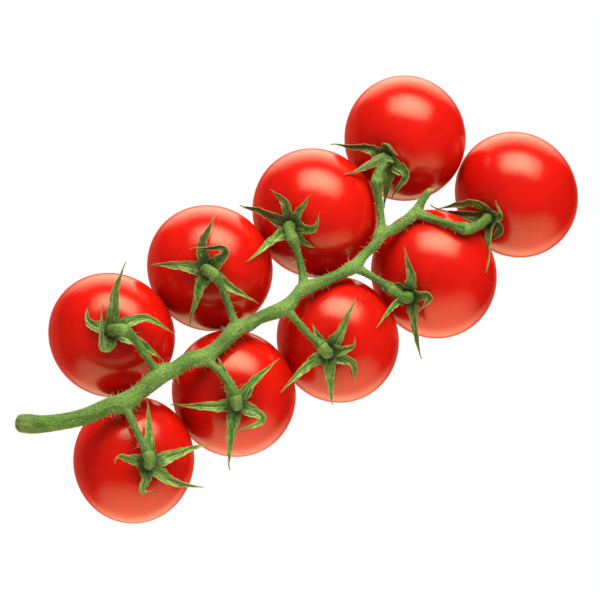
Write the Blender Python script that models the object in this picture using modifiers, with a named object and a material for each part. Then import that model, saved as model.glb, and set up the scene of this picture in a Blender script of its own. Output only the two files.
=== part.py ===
"""A truss of nine small tomatoes, laid down, with its green stem and calyxes.

Units are metres and +Z is up. The origin is on the table, under the middle of the truss, and
+X runs along the stem from its cut end to its tip. The tables are in millimetres and degrees.
"""

import math
from collections import namedtuple

import bmesh
import bpy
from mathutils import Matrix, Vector

MM = 0.001
COLLECTION = "tomato_truss"
CUTTERS = "tomato_truss_cutters"

# Fruit: a ball a little lower than it is wide and a little broader than it is deep, with a
# dimple round its stalk and a small flat spot where it rests on the table.
FLATNESS = 0.97
BREADTH = 1.045
DIMPLE_DEPTH = 1.0
DIMPLE_REACH = 4.5
FRUIT_SIDES = 24
FRUIT_RINGS = 12
FLAT_SPOT_DEPTH = 0.3
TABLE_CUT_SIZE = (220.0, 120.0, 6.0)

# Clear gaps between pieces that touch
GAP = 0.3
KNUCKLE_GAP = 0.4

# Stem and stalks
TUBE_RESOLUTION = 2
STEM_STEP = 3.6
PEDICEL_STEP = 1.7
STALK_STEP = 1.3
END_STEP = 0.5
END_ROOM = 1.3
FINE_STEP = 0.4
ELBOW_ROUNDING = 36
PEDICEL_RADIUS = 1.1
PEDICEL_FLARE = 0.45
PEDICEL_FLARE_REACH = 3.0
FAR_STALK_RADIUS = 1.45
KNUCKLE_RADIUS = 1.65
KNUCKLE_REACH = 1.8
RECEPTACLE_RADIUS = 2.5
RECEPTACLE_REACH = 1.5
WELD_DISTANCE = 0.01

# Calyx leaves
SEPAL_ROOT = 1.3
SEPAL_SEAT = 0.75
SEPAL_WIDTH = 3.7
SEPAL_TIP_WIDTH = 0.8
SEPAL_TAPER = 0.8
SEPAL_THICKNESS = 0.65
SEPAL_CUP = 0.35
SEPAL_CLEARANCE = 0.7
SEPAL_STEPS = 7
BEND_SPAN = 0.44
SHARP_ANGLE = 50

# Place of a fruit's middle, its radius, the lean of its stalk end from straight up with the
# compass bearing of that lean, anticlockwise from +X, and the turn of its broad side.
Fruit = namedtuple("Fruit", "x y radius lean bearing broadside")
FRUITS = {
    1: Fruit(54.5, 18.2, 16.8, 50, 192, -48),
    2: Fruit(72.5, -11.9, 17.0, 60, 185, -5),
    3: Fruit(20.0, 14.6, 17.1, 47, 180, -12),
    4: Fruit(-13.9, 17.8, 16.7, 23, 188, 4),
    5: Fruit(-47.6, 17.2, 16.5, 15, 180, 19),
    6: Fruit(-62.0, -13.9, 16.2, 14, 240, 79),
    7: Fruit(-28.4, -14.0, 16.6, 25, 208, -35),
    8: Fruit(4.9, -17.6, 16.6, 35, 190, -20),
    9: Fruit(38.7, -17.4, 17.2, 53, 187, -14),
}

# The main stem, from its cut end to its withered tip: x, y, z, radius.
MAIN_STEM = (
    (-87.0, 10.0, 33.0, 2.1),
    (-85.0, 8.5, 33.0, 2.5),
    (-82.0, 6.5, 33.0, 2.3),
    (-76.5, 4.0, 32.5, 2.1),
    (-70.5, 2.0, 32.0, 2.2),
    (-64.0, 1.0, 31.5, 2.3),
    (-60.0, -0.5, 31.5, 2.7),
    (-54.5, -0.3, 31.5, 2.2),
    (-47.5, 0.5, 31.5, 2.6),
    (-43.5, -0.5, 31.5, 2.1),
    (-38.5, -0.5, 31.5, 2.1),
    (-35.0, -2.0, 31.5, 2.4),
    (-30.0, -2.0, 31.5, 1.9),
    (-22.5, -0.5, 31.0, 2.3),
    (-19.0, -1.5, 30.5, 1.8),
    (-15.0, -1.5, 30.0, 1.7),
    (-7.5, -3.0, 30.0, 2.1),
    (-3.0, -2.0, 30.0, 1.6),
    (0.5, -1.5, 29.5, 2.0),
    (4.5, -2.5, 29.5, 1.6),
    (10.5, -3.5, 29.0, 1.5),
    (16.0, -4.0, 29.0, 1.8),
    (20.0, -3.0, 28.5, 1.4),
    (25.5, -2.0, 28.5, 1.4),
    (28.0, -0.5, 28.5, 1.8),
    (31.5, -1.5, 28.5, 1.4),
    (35.5, -1.5, 28.5, 1.4),
    (39.5, -1.0, 29.0, 1.6),
    (42.5, 0.5, 30.0, 1.1),
    (45.0, 1.5, 31.0, 1.0),
    (46.0, 1.5, 31.5, 0.7),
)

# Each stalk from the main stem to just above its calyx, and the length beyond its knuckle.
Stalk = namedtuple("Stalk", "beyond_knuckle points")
STALKS = {
    1: Stalk(10.7, (
        (28.0, -0.5, 28.5), (30.0, 2.0, 28.8), (32.8, 7.5, 29.5), (34.3, 11.0, 30.0),
        (35.5, 12.8, 30.3), (38.0, 14.3, 30.5), (40.0, 15.0, 29.9),
    )),
    2: Stalk(16.1, (
        (39.5, -1.0, 29.0), (42.0, -5.0, 31.0), (44.2, -9.0, 33.3), (47.2, -12.8, 34.0),
        (51.0, -13.5, 32.0), (54.8, -13.4, 28.6),
    )),
    3: Stalk(7.4, (
        (0.5, -1.5, 29.5), (3.0, 4.0, 30.0), (4.2, 7.5, 30.5), (5.0, 10.7, 31.2),
        (5.0, 12.8, 31.6), (5.8, 14.4, 31.0),
    )),
    4: Stalk(8.5, (
        (-22.5, -0.5, 31.0), (-21.1, 6.2, 32.5), (-20.5, 9.8, 34.0), (-20.6, 12.7, 35.8),
        (-21.2, 14.8, 37.0), (-21.9, 16.7, 36.6),
    )),
    5: Stalk(8.6, (
        (-47.5, 0.5, 31.5), (-49.0, 7.4, 34.5), (-49.3, 10.9, 36.0), (-50.2, 14.6, 37.5),
        (-52.0, 16.6, 37.4),
    )),
    6: Stalk(8.6, (
        (-60.0, -0.5, 31.5), (-61.6, -5.3, 32.8), (-62.8, -9.8, 34.5), (-63.6, -13.6, 36.0),
        (-64.2, -15.9, 37.0), (-65.0, -17.6, 36.6),
    )),
    7: Stalk(8.4, (
        (-35.0, -2.0, 31.5), (-34.5, -6.6, 34.2), (-34.5, -10.5, 35.5), (-34.9, -13.9, 36.6),
        (-35.6, -16.2, 37.0), (-36.1, -17.8, 35.8),
    )),
    8: Stalk(7.9, (
        (-7.5, -3.0, 30.0), (-7.1, -8.9, 31.0), (-6.9, -13.1, 32.4), (-6.7, -16.1, 34.0),
        (-6.4, -18.3, 34.7), (-6.6, -19.7, 33.8),
    )),
    9: Stalk(8.7, (
        (16.0, -4.0, 29.0), (17.9, -7.9, 29.0), (20.4, -12.3, 28.8), (21.3, -15.9, 28.9),
        (22.3, -18.2, 29.1), (23.4, -19.3, 28.6),
    )),
}

# One green leaf of a calyx. Its bearing starts from downhill on the fruit, anticlockwise seen
# from outside. It rises and later falls by these angles to the calyx's own plane, and turns
# sideways by its turn around the given share of its length.
Sepal = namedtuple("Sepal", "bearing length rise fall turn bend")
SEPALS = {
    1: (
        Sepal(275, 15.0, 9, -16, 30, 0.30),
        Sepal(310, 15.0, 74, 54, -15, 0.60),
        Sepal(110, 15.5, 5, -9, -110, 0.40),
        Sepal(60, 13.5, 10, -32, -35, 0.35),
        Sepal(215, 10.0, 20, 40, -115, 0.45),
    ),
    2: (
        Sepal(235, 16.5, 5, 8, 100, 0.25),
        Sepal(305, 16.0, 14, -18, 10, 0.20),
        Sepal(160, 11.5, 18, 22, 70, 0.45),
        Sepal(120, 11.5, 13, -20, -130, 0.35),
        Sepal(88, 17.0, 48, 56, -13, 0.60),
    ),
    3: (
        Sepal(290, 14.5, 10, -20, 25, 0.45),
        Sepal(235, 12.0, 12, -34, 55, 0.45),
        Sepal(195, 11.0, 20, 0, 10, 0.65),
        Sepal(145, 12.0, 12, 20, 80, 0.60),
        Sepal(8, 17.5, 66, 60, 0, 0.40),
        Sepal(95, 8.0, 12, -40, 10, 0.40),
    ),
    4: (
        Sepal(310, 14.5, 11, -29, 10, 0.40),
        Sepal(240, 15.0, 11, -26, -35, 0.35),
        Sepal(175, 16.0, 18, -12, 150, 0.40),
        Sepal(105, 15.5, 9, -23, 8, 0.50),
        Sepal(30, 14.5, 11, -28, 3, 0.45),
    ),
    5: (
        Sepal(235, 17.5, 7, -17, -15, 0.50),
        Sepal(170, 17.0, 12, -32, -50, 0.45),
        Sepal(125, 15.0, 11, -27, -10, 0.45),
        Sepal(40, 16.0, 13, -5, -170, 0.30),
        Sepal(315, 10.0, 16, -35, -80, 0.55),
    ),
    6: (
        Sepal(180, 15.0, 9, -24, -7, 0.45),
        Sepal(100, 16.0, 10, -17, -9, 0.75),
        Sepal(35, 16.0, 11, -21, 37, 0.33),
        Sepal(330, 10.0, 17, -33, 105, 0.65),
        Sepal(255, 11.5, 10, 26, 80, 0.80),
    ),
    7: (
        Sepal(305, 16.5, 8, -25, -8, 0.50),
        Sepal(20, 17.0, 7, -17, 8, 0.45),
        Sepal(100, 15.0, 14, -20, -145, 0.45),
        Sepal(175, 15.5, 8, -24, -15, 0.45),
        Sepal(230, 12.0, 13, -33, 3, 0.45),
    ),
    8: (
        Sepal(190, 15.5, 8, -28, 11, 0.40),
        Sepal(150, 10.5, 16, 27, 85, 0.70),
        Sepal(115, 13.0, 11, -38, -75, 0.50),
        Sepal(60, 15.0, 16, -40, -15, 0.20),
        Sepal(347, 17.5, 42, 37, 14, 0.40),
        Sepal(255, 7.5, 15, -20, 0, 0.40),
    ),
    9: (
        Sepal(215, 14.0, 10, -19, 35, 0.45),
        Sepal(315, 16.5, 80, 68, 85, 0.35),
        Sepal(80, 17.0, 12, -13, -25, 0.20),
        Sepal(145, 12.0, 14, -12, -155, 0.50),
        Sepal(260, 7.5, 15, -30, 40, 0.40),
    ),
}

SKIN_RED = (0.72, 0.016, 0.008)
SKIN_ROUGHNESS = 0.18
STEM_GREEN = (0.13, 0.29, 0.055)
STEM_ROUGHNESS = 0.55
CALYX_GREEN = (0.08, 0.20, 0.045)
CALYX_ROUGHNESS = 0.60


def clear_scene():
    for obj in list(bpy.data.objects):
        bpy.data.objects.remove(obj, do_unlink=True)


def add_collection(name):
    collection = bpy.data.collections.new(name)
    bpy.context.scene.collection.children.link(collection)
    return collection


def add_material(name, colour, roughness):
    material = bpy.data.materials.new(name)
    material.use_nodes = True
    shader = material.node_tree.nodes["Principled BSDF"]
    shader.inputs["Base Color"].default_value = (*colour, 1.0)
    shader.inputs["Roughness"].default_value = roughness
    shader.inputs["Metallic"].default_value = 0.0
    return material


def add_object(name, mesh, collection, material=None):
    obj = bpy.data.objects.new(name, mesh)
    if material:
        mesh.materials.append(material)
    collection.objects.link(obj)
    return obj


def apply_modifiers(obj):
    """Turns what the modifiers make into the object's own mesh."""
    graph = bpy.context.evaluated_depsgraph_get()
    mesh = bpy.data.meshes.new_from_object(obj.evaluated_get(graph))
    obj.modifiers.clear()
    obj.data = mesh


def skin_point(fruit, angle):
    """Distance from the fruit's own axis and height over its middle, at an angle from its top."""
    across = fruit.radius * math.sin(angle)
    height = fruit.radius * FLATNESS * math.cos(angle)
    if height > 0:
        height -= DIMPLE_DEPTH * math.exp(-((across / DIMPLE_REACH) ** 2))
    return across, height


def fruit_turn(fruit):
    """Rotation that leans the fruit's own axis over."""
    bearing = Matrix.Rotation(math.radians(fruit.bearing), 4, "Z")
    return bearing @ Matrix.Rotation(math.radians(fruit.lean), 4, "Y")


def fruit_stretch(fruit):
    """Matrix that makes a turned fruit broader across its own axis."""
    turn = Matrix.Rotation(math.radians(fruit.broadside), 4, "Z")
    return turn @ Matrix.Diagonal((1.0, BREADTH, 1.0, 1.0)) @ turn.inverted()


def middle_height(fruit):
    """Height of the fruit's middle when it rests on its flat spot."""
    flat = Matrix.Diagonal((1.0, 1.0, FLATNESS, 1.0))
    reach = (fruit_turn(fruit) @ fruit_stretch(fruit) @ flat).row[2].to_3d()
    return fruit.radius * reach.length - FLAT_SPOT_DEPTH


def fruit_frame(fruit):
    """Matrix in millimetres from the fruit's own axes to the table's."""
    return Matrix.Translation((fruit.x, fruit.y, middle_height(fruit))) @ fruit_turn(fruit)


def add_table_cutter(collection):
    """A slab just under the table's face, which cuts the flat spots."""
    size = Vector(TABLE_CUT_SIZE) * MM
    below = Matrix.Translation((0, 0, -size.z / 2))
    slab = bmesh.new()
    bmesh.ops.create_cube(slab, size=1.0, matrix=below @ Matrix.Diagonal((*size, 1.0)))
    mesh = bpy.data.meshes.new("table_cutter")
    slab.to_mesh(mesh)
    slab.free()
    cutter = add_object("table_cutter", mesh, collection)
    cutter.hide_render = True
    cutter.display_type = "WIRE"
    return cutter


def add_tomato(number, fruit, collection, material, cutter):
    """A turned fruit, made a little broader, leaned over and set down on its flat spot."""
    profile = [skin_point(fruit, math.pi * ring / FRUIT_RINGS) for ring in range(FRUIT_RINGS + 1)]
    points = [(across * MM, 0.0, height * MM) for across, height in profile]
    edges = [(ring, ring + 1) for ring in range(FRUIT_RINGS)]
    mesh = bpy.data.meshes.new(f"tomato_{number}")
    mesh.from_pydata(points, edges, [])
    tomato = add_object(f"tomato_{number}", mesh, collection, material)
    turn = tomato.modifiers.new("Turn", "SCREW")
    turn.steps = turn.render_steps = FRUIT_SIDES
    turn.use_merge_vertices = True
    turn.merge_threshold = 0.00001
    apply_modifiers(tomato)
    tomato.data.transform(fruit_turn(fruit) @ fruit_stretch(fruit))
    tomato.location = Vector((fruit.x, fruit.y, middle_height(fruit))) * MM
    cut = tomato.modifiers.new("Flat spot", "BOOLEAN")
    cut.object = cutter
    cut.operation = "DIFFERENCE"
    tomato.data.shade_smooth()
    return tomato


def smooth_route(points, step):
    """Points about one step apart on a smooth curve through the given ones."""
    ends = [points[0] * 2 - points[1], *points, points[-1] * 2 - points[-2]]
    route = []
    for before, start, end, after in zip(ends, ends[1:], ends[2:], ends[3:]):
        leave = (end - before) / 2
        arrive = (after - start) / 2
        count = max(1, round((end - start).to_3d().length / step))
        for index in range(count):
            t = index / count
            route.append(
                start * (2 * t**3 - 3 * t**2 + 1)
                + leave * (t**3 - 2 * t**2 + t)
                + end * (3 * t**2 - 2 * t**3)
                + arrive * (t**3 - t**2)
            )
    return [*route, points[-1]]


def rounded(route, passes):
    """The route with its sharp turns eased, and its ends kept."""
    for _ in range(passes):
        inner = [
            (before + point * 2 + after) / 4
            for before, point, after in zip(route, route[1:], route[2:])
        ]
        route = [route[0], *inner, route[-1]]
    return route


def route_length(route):
    return sum((end - start).length for start, end in zip(route, route[1:]))


def point_along(route, length):
    """The point of a route at a length from its start."""
    for start, end in zip(route, route[1:]):
        span = (end - start).length
        if length <= span:
            return start.lerp(end, length / span)
        length -= span
    return route[-1]


def places_between(start, end, step):
    """Evenly spaced lengths from start to end."""
    count = max(2, round((end - start) / step))
    return [start + (end - start) * index / count for index in range(count + 1)]


def add_tube(name, points, radii, collection, material):
    """A round tube as a closed mesh, from points and radii in millimetres."""
    curve = bpy.data.curves.new(name, "CURVE")
    curve.dimensions = "3D"
    curve.bevel_depth = MM
    curve.bevel_resolution = TUBE_RESOLUTION
    curve.use_fill_caps = True
    spline = curve.splines.new("POLY")
    spline.points.add(len(points) - 1)
    for place, point, radius in zip(spline.points, points, radii):
        place.co = (*(point * MM), 1.0)
        place.radius = radius
    guide = bpy.data.objects.new(name + "_route", curve)
    collection.objects.link(guide)
    graph = bpy.context.evaluated_depsgraph_get()
    mesh = bpy.data.meshes.new_from_object(guide.evaluated_get(graph))
    bpy.data.objects.remove(guide, do_unlink=True)
    weld = bmesh.new()
    weld.from_mesh(mesh)
    bmesh.ops.remove_doubles(weld, verts=weld.verts, dist=WELD_DISTANCE * MM)
    weld.to_mesh(mesh)
    weld.free()
    mesh.materials.clear()
    return add_object(name, mesh, collection, material)


def fuse(target, others):
    """Joins the others to the target as one body."""
    group = bpy.data.collections.new(target.name + "_pieces")
    bpy.context.scene.collection.children.link(group)
    for obj in others:
        for collection in list(obj.users_collection):
            collection.objects.unlink(obj)
        group.objects.link(obj)
    union = target.modifiers.new("Fuse", "BOOLEAN")
    union.operation = "UNION"
    union.operand_type = "COLLECTION"
    union.collection = group
    union.solver = "EXACT"
    apply_modifiers(target)
    for obj in list(group.objects):
        bpy.data.objects.remove(obj, do_unlink=True)
    bpy.data.collections.remove(group)
    target.data.shade_smooth()
    target.data.set_sharp_from_angle(angle=math.radians(SHARP_ANGLE))


def seat_height(fruit):
    """Height over the fruit's middle of the underside of its calyx."""
    return skin_point(fruit, 0.0)[1] + GAP


def stalk_route(number):
    """The whole stalk of one fruit, from the main stem to the seat of its calyx."""
    fruit = FRUITS[number]
    frame = fruit_frame(fruit)
    seat = frame @ Vector((0, 0, seat_height(fruit)))
    above_seat = frame @ Vector((0, 0, seat_height(fruit) + RECEPTACLE_REACH))
    points = [Vector(point) for point in STALKS[number].points]
    return rounded(smooth_route([*points, above_seat, seat], FINE_STEP), ELBOW_ROUNDING)


def add_main_stem(collection, material):
    route = smooth_route([Vector(place) for place in MAIN_STEM], STEM_STEP)
    points = [place.to_3d() for place in route]
    radii = [place.w for place in route]
    return add_tube("truss_stem", points, radii, collection, material)


def knuckle_swell(radius, distance):
    """How much a knuckle adds to a stalk's radius at a distance from it."""
    return (KNUCKLE_RADIUS - radius) * math.exp(-((distance / KNUCKLE_REACH) ** 2))


def knuckle_end(route, knuckle, side):
    """The last two points on one side of a knuckle, so that both sides end square to it."""
    before = point_along(route, knuckle - END_STEP)
    way = (point_along(route, knuckle + END_STEP) - before).normalized() * side
    middle = point_along(route, knuckle)
    return [middle + way * (KNUCKLE_GAP / 2 + END_STEP), middle + way * (KNUCKLE_GAP / 2)]


def add_pedicel(number, collection, material):
    """The near part of a stalk, from inside the main stem to its knuckle."""
    route = stalk_route(number)
    knuckle = route_length(route) - STALKS[number].beyond_knuckle
    places = places_between(0.0, knuckle - END_ROOM, PEDICEL_STEP)
    points = [point_along(route, place) for place in places] + knuckle_end(route, knuckle, -1)
    radii = [
        PEDICEL_RADIUS
        + PEDICEL_FLARE * math.exp(-((place / PEDICEL_FLARE_REACH) ** 2))
        + knuckle_swell(PEDICEL_RADIUS, knuckle - place)
        for place in places
    ]
    radii = [*radii, KNUCKLE_RADIUS, KNUCKLE_RADIUS]
    return add_tube(f"pedicel_{number}", points, radii, collection, material)


def add_far_stalk(number, collection, material):
    """The far part of a stalk, which widens to the seat of the calyx and ends square to it."""
    fruit = FRUITS[number]
    route = stalk_route(number)
    end = route_length(route)
    knuckle = end - STALKS[number].beyond_knuckle
    places = places_between(knuckle + END_ROOM, end - END_ROOM, STALK_STEP)
    seat = [
        fruit_frame(fruit) @ Vector((0, 0, seat_height(fruit) + rise)) for rise in (END_STEP, 0.0)
    ]
    points = [
        *reversed(knuckle_end(route, knuckle, 1)),
        *[point_along(route, place) for place in places],
        *seat,
    ]
    spread = RECEPTACLE_RADIUS - FAR_STALK_RADIUS
    radii = [
        FAR_STALK_RADIUS
        + max(
            knuckle_swell(FAR_STALK_RADIUS, place - knuckle),
            spread * math.exp(-(((end - place) / RECEPTACLE_REACH) ** 4)),
        )
        for place in places
    ]
    radii = [KNUCKLE_RADIUS, KNUCKLE_RADIUS, *radii, RECEPTACLE_RADIUS, RECEPTACLE_RADIUS]
    return add_tube(f"calyx_{number}", points, radii, collection, material)


def clear_of_skin(fruit, point):
    """The point, moved out from the fruit's middle where it is too near to its skin."""
    bare = fruit_stretch(fruit).inverted() @ point
    across = math.hypot(bare.x, bare.y)
    angle = math.atan2(across / fruit.radius, bare.z / (fruit.radius * FLATNESS))
    skin = math.hypot(*skin_point(fruit, angle)) + SEPAL_CLEARANCE
    return point * max(1.0, skin / math.hypot(across, bare.z))


def clear_of_fruits(own, point):
    """The point, moved clear of every fruit, and of its own last."""
    for fruit in (*FRUITS.values(), own):
        frame = fruit_frame(fruit)
        point = frame @ clear_of_skin(fruit, frame.inverted() @ point)
    return point


def smooth_step(share):
    share = min(1.0, max(0.0, share))
    return share * share * (3 - 2 * share)


def sepal_spine(fruit, sepal, steps):
    """Points in millimetres from the root of a sepal to its tip."""
    root = math.radians(sepal.bearing)
    height = seat_height(fruit) + SEPAL_SEAT
    at = Vector((SEPAL_ROOT * math.cos(root), SEPAL_ROOT * math.sin(root), height))
    frame = fruit_frame(fruit)
    spine = [clear_of_fruits(fruit, frame @ at)]
    for step in range(steps):
        share = (step + 0.5) / steps
        turned = sepal.turn * smooth_step((share - sepal.bend) / BEND_SPAN + 0.5)
        heading = math.radians(sepal.bearing + turned)
        climb = math.radians(sepal.rise + (sepal.fall - sepal.rise) * share)
        level = math.cos(climb)
        way = Vector((level * math.cos(heading), level * math.sin(heading), math.sin(climb)))
        at = at + way * (sepal.length / steps)
        spine.append(clear_of_fruits(fruit, frame @ at))
    return spine


def sepal_half_width(share):
    return max(SEPAL_TIP_WIDTH, SEPAL_WIDTH * (1 - share) ** SEPAL_TAPER) / 2


def add_sepal(name, fruit, sepal, collection, material):
    """A tapering blade, bent along its spine, with its edges a little raised."""
    spine = sepal_spine(fruit, sepal, SEPAL_STEPS)
    outward = fruit_turn(fruit) @ Vector((0, 0, 1))
    blade = bmesh.new()
    bmesh.ops.create_grid(blade, x_segments=2, y_segments=SEPAL_STEPS, size=1.0)
    for vertex in blade.verts:
        side = vertex.co.x
        row = round((vertex.co.y + 1) / 2 * SEPAL_STEPS)
        along = (spine[min(row + 1, SEPAL_STEPS)] - spine[max(row - 1, 0)]).normalized()
        across = along.cross(outward).normalized()
        over = across.cross(along)
        reach = sepal_half_width(row / SEPAL_STEPS) * side
        vertex.co = (spine[row] + across * reach + over * (SEPAL_CUP * side**2)) * MM
    bmesh.ops.triangulate(blade, faces=blade.faces)
    bmesh.ops.recalc_face_normals(blade, faces=blade.faces)
    mesh = bpy.data.meshes.new(name)
    blade.to_mesh(mesh)
    blade.free()
    sepal_object = add_object(name, mesh, collection, material)
    thick = sepal_object.modifiers.new("Thickness", "SOLIDIFY")
    thick.thickness = SEPAL_THICKNESS * MM
    thick.offset = 0.0
    apply_modifiers(sepal_object)
    return sepal_object


def add_calyx(number, fruit, collection, material):
    calyx = add_far_stalk(number, collection, material)
    sepals = [
        add_sepal(f"sepal_{number}_{index}", fruit, sepal, collection, material)
        for index, sepal in enumerate(SEPALS[number], 1)
    ]
    fuse(calyx, sepals)


def add_truss_stem(collection, material):
    stem = add_main_stem(collection, material)
    pedicels = [add_pedicel(number, collection, material) for number in STALKS]
    fuse(stem, pedicels)


def main():
    clear_scene()
    parts = add_collection(COLLECTION)
    cutters = add_collection(CUTTERS)
    skin = add_material("tomato_skin", SKIN_RED, SKIN_ROUGHNESS)
    green = add_material("stem_green", STEM_GREEN, STEM_ROUGHNESS)
    leaf = add_material("calyx_green", CALYX_GREEN, CALYX_ROUGHNESS)
    table = add_table_cutter(cutters)
    for number, fruit in FRUITS.items():
        add_tomato(number, fruit, parts, skin, table)
        add_calyx(number, fruit, parts, leaf)
    add_truss_stem(parts, green)


main()
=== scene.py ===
"""Truss of tomatoes: fine fruit, stem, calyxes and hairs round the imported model, and a white studio.

Lengths in the tables are in millimetres and angles in degrees. The origin is on the table under
the middle of the truss, +X runs along the stem from its cut end to its tip, and +Z is up.
"""

import math
import random
from collections import namedtuple

import bpy
import numpy as np
from mathutils import Matrix, Vector, noise


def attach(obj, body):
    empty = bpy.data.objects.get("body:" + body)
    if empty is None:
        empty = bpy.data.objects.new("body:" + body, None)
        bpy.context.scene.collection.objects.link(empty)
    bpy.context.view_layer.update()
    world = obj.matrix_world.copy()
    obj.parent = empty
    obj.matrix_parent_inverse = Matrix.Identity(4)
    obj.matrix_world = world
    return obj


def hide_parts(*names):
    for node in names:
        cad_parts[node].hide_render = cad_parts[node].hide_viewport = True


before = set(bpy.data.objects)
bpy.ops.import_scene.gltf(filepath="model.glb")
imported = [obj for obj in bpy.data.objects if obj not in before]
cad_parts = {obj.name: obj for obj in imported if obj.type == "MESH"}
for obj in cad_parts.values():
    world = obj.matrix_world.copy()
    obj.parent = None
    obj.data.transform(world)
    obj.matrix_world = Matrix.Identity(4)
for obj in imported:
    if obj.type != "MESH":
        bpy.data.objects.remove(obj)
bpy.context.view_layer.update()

bl_info = {
    "name": "Tomato truss",
    "version": (1, 0, 0),
    "blender": (4, 5, 0),
    "location": "View3D > Sidebar > Truss",
    "description": "Tomatoes on their green stem, laid on a white studio table",
    "category": "Add Mesh",
}

MM = 0.001
BODY = "root"

# Fruit: middle, radius, lean of the stalk end from straight up, that lean's bearing, and the
# turn of its broad side.
Fruit = namedtuple("Fruit", "x y radius lean bearing broadside")
FRUITS = {
    1: Fruit(54.5, 18.2, 16.8, 50, 192, -48),
    2: Fruit(72.5, -11.9, 17.0, 60, 185, -5),
    3: Fruit(20.0, 14.6, 17.1, 47, 180, -12),
    4: Fruit(-13.9, 17.8, 16.7, 23, 188, 4),
    5: Fruit(-47.6, 17.2, 16.5, 15, 180, 19),
    6: Fruit(-62.0, -13.9, 16.2, 14, 240, 79),
    7: Fruit(-28.4, -14.0, 16.6, 25, 208, -35),
    8: Fruit(4.9, -17.6, 16.6, 35, 190, -20),
    9: Fruit(38.7, -17.4, 17.2, 53, 187, -14),
}
FLATNESS = 0.97
BREADTH = 1.045
DIMPLE_DEPTH = 1.0
DIMPLE_REACH = 4.5
FLAT_SPOT_DEPTH = 0.3
GAP = 0.3

# Main stem from its cut end to its withered tip: x, y, z, radius.
MAIN_STEM = (
    (-87.0, 10.0, 33.0, 2.4),
    (-85.0, 8.5, 33.0, 2.6),
    (-82.0, 6.5, 33.0, 2.3),
    (-76.5, 4.0, 32.5, 2.1),
    (-70.5, 2.0, 32.0, 2.2),
    (-64.0, 1.0, 31.5, 2.3),
    (-60.0, -0.5, 31.5, 2.7),
    (-54.5, -0.3, 31.5, 2.2),
    (-47.5, 0.5, 31.5, 2.6),
    (-43.5, -0.5, 31.5, 2.1),
    (-38.5, -0.5, 31.5, 2.1),
    (-35.0, -2.0, 31.5, 2.4),
    (-30.0, -2.0, 31.5, 1.9),
    (-22.5, -0.5, 31.0, 2.3),
    (-19.0, -1.5, 30.5, 1.8),
    (-15.0, -1.5, 30.0, 1.7),
    (-7.5, -3.0, 30.0, 2.1),
    (-3.0, -2.0, 30.0, 1.6),
    (0.5, -1.5, 29.5, 2.0),
    (4.5, -2.5, 29.5, 1.6),
    (10.5, -3.5, 29.0, 1.5),
    (16.0, -4.0, 29.0, 1.8),
    (20.0, -3.0, 28.5, 1.4),
    (25.5, -2.0, 28.5, 1.4),
    (28.0, -0.5, 28.5, 1.8),
    (31.5, -1.5, 28.5, 1.4),
    (35.5, -1.5, 28.5, 1.4),
    (39.5, -1.0, 29.0, 1.6),
    (42.5, 0.5, 30.0, 1.1),
    (45.0, 1.5, 31.0, 1.0),
    (46.0, 1.5, 31.5, 0.7),
)

# Each stalk from the main stem to just above its calyx, and the length beyond its knuckle.
Stalk = namedtuple("Stalk", "beyond_knuckle points")
STALKS = {
    1: Stalk(10.7, (
        (28.0, -0.5, 28.5), (30.0, 2.0, 28.8), (32.8, 7.5, 29.5), (34.3, 11.0, 30.0),
        (35.5, 12.8, 30.3), (38.0, 14.3, 30.5), (40.0, 15.0, 29.9),
    )),
    2: Stalk(16.1, (
        (39.5, -1.0, 29.0), (42.0, -5.0, 31.0), (44.2, -9.0, 33.3), (47.2, -12.8, 34.0),
        (51.0, -13.5, 32.0), (54.8, -13.4, 28.6),
    )),
    3: Stalk(7.4, (
        (0.5, -1.5, 29.5), (3.0, 4.0, 30.0), (4.2, 7.5, 30.5), (5.0, 10.7, 31.2),
        (5.0, 12.8, 31.6), (5.8, 14.4, 31.0),
    )),
    4: Stalk(8.5, (
        (-22.5, -0.5, 31.0), (-21.1, 6.2, 32.5), (-20.5, 9.8, 34.0), (-20.6, 12.7, 35.8),
        (-21.2, 14.8, 37.0), (-21.9, 16.7, 36.6),
    )),
    5: Stalk(8.6, (
        (-47.5, 0.5, 31.5), (-49.0, 7.4, 34.5), (-49.3, 10.9, 36.0), (-50.2, 14.6, 37.5),
        (-52.0, 16.6, 37.4),
    )),
    6: Stalk(8.6, (
        (-60.0, -0.5, 31.5), (-61.6, -5.3, 32.8), (-62.8, -9.8, 34.5), (-63.6, -13.6, 36.0),
        (-64.2, -15.9, 37.0), (-65.0, -17.6, 36.6),
    )),
    7: Stalk(8.4, (
        (-35.0, -2.0, 31.5), (-34.5, -6.6, 34.2), (-34.5, -10.5, 35.5), (-34.9, -13.9, 36.6),
        (-35.6, -16.2, 37.0), (-36.1, -17.8, 35.8),
    )),
    8: Stalk(7.9, (
        (-7.5, -3.0, 30.0), (-7.1, -8.9, 31.0), (-6.9, -13.1, 32.4), (-6.7, -16.1, 34.0),
        (-6.4, -18.3, 34.7), (-6.6, -19.7, 33.8),
    )),
    9: Stalk(8.7, (
        (16.0, -4.0, 29.0), (17.9, -7.9, 29.0), (20.4, -12.3, 28.8), (21.3, -15.9, 28.9),
        (22.3, -18.2, 29.1), (23.4, -19.3, 28.6),
    )),
}

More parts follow.
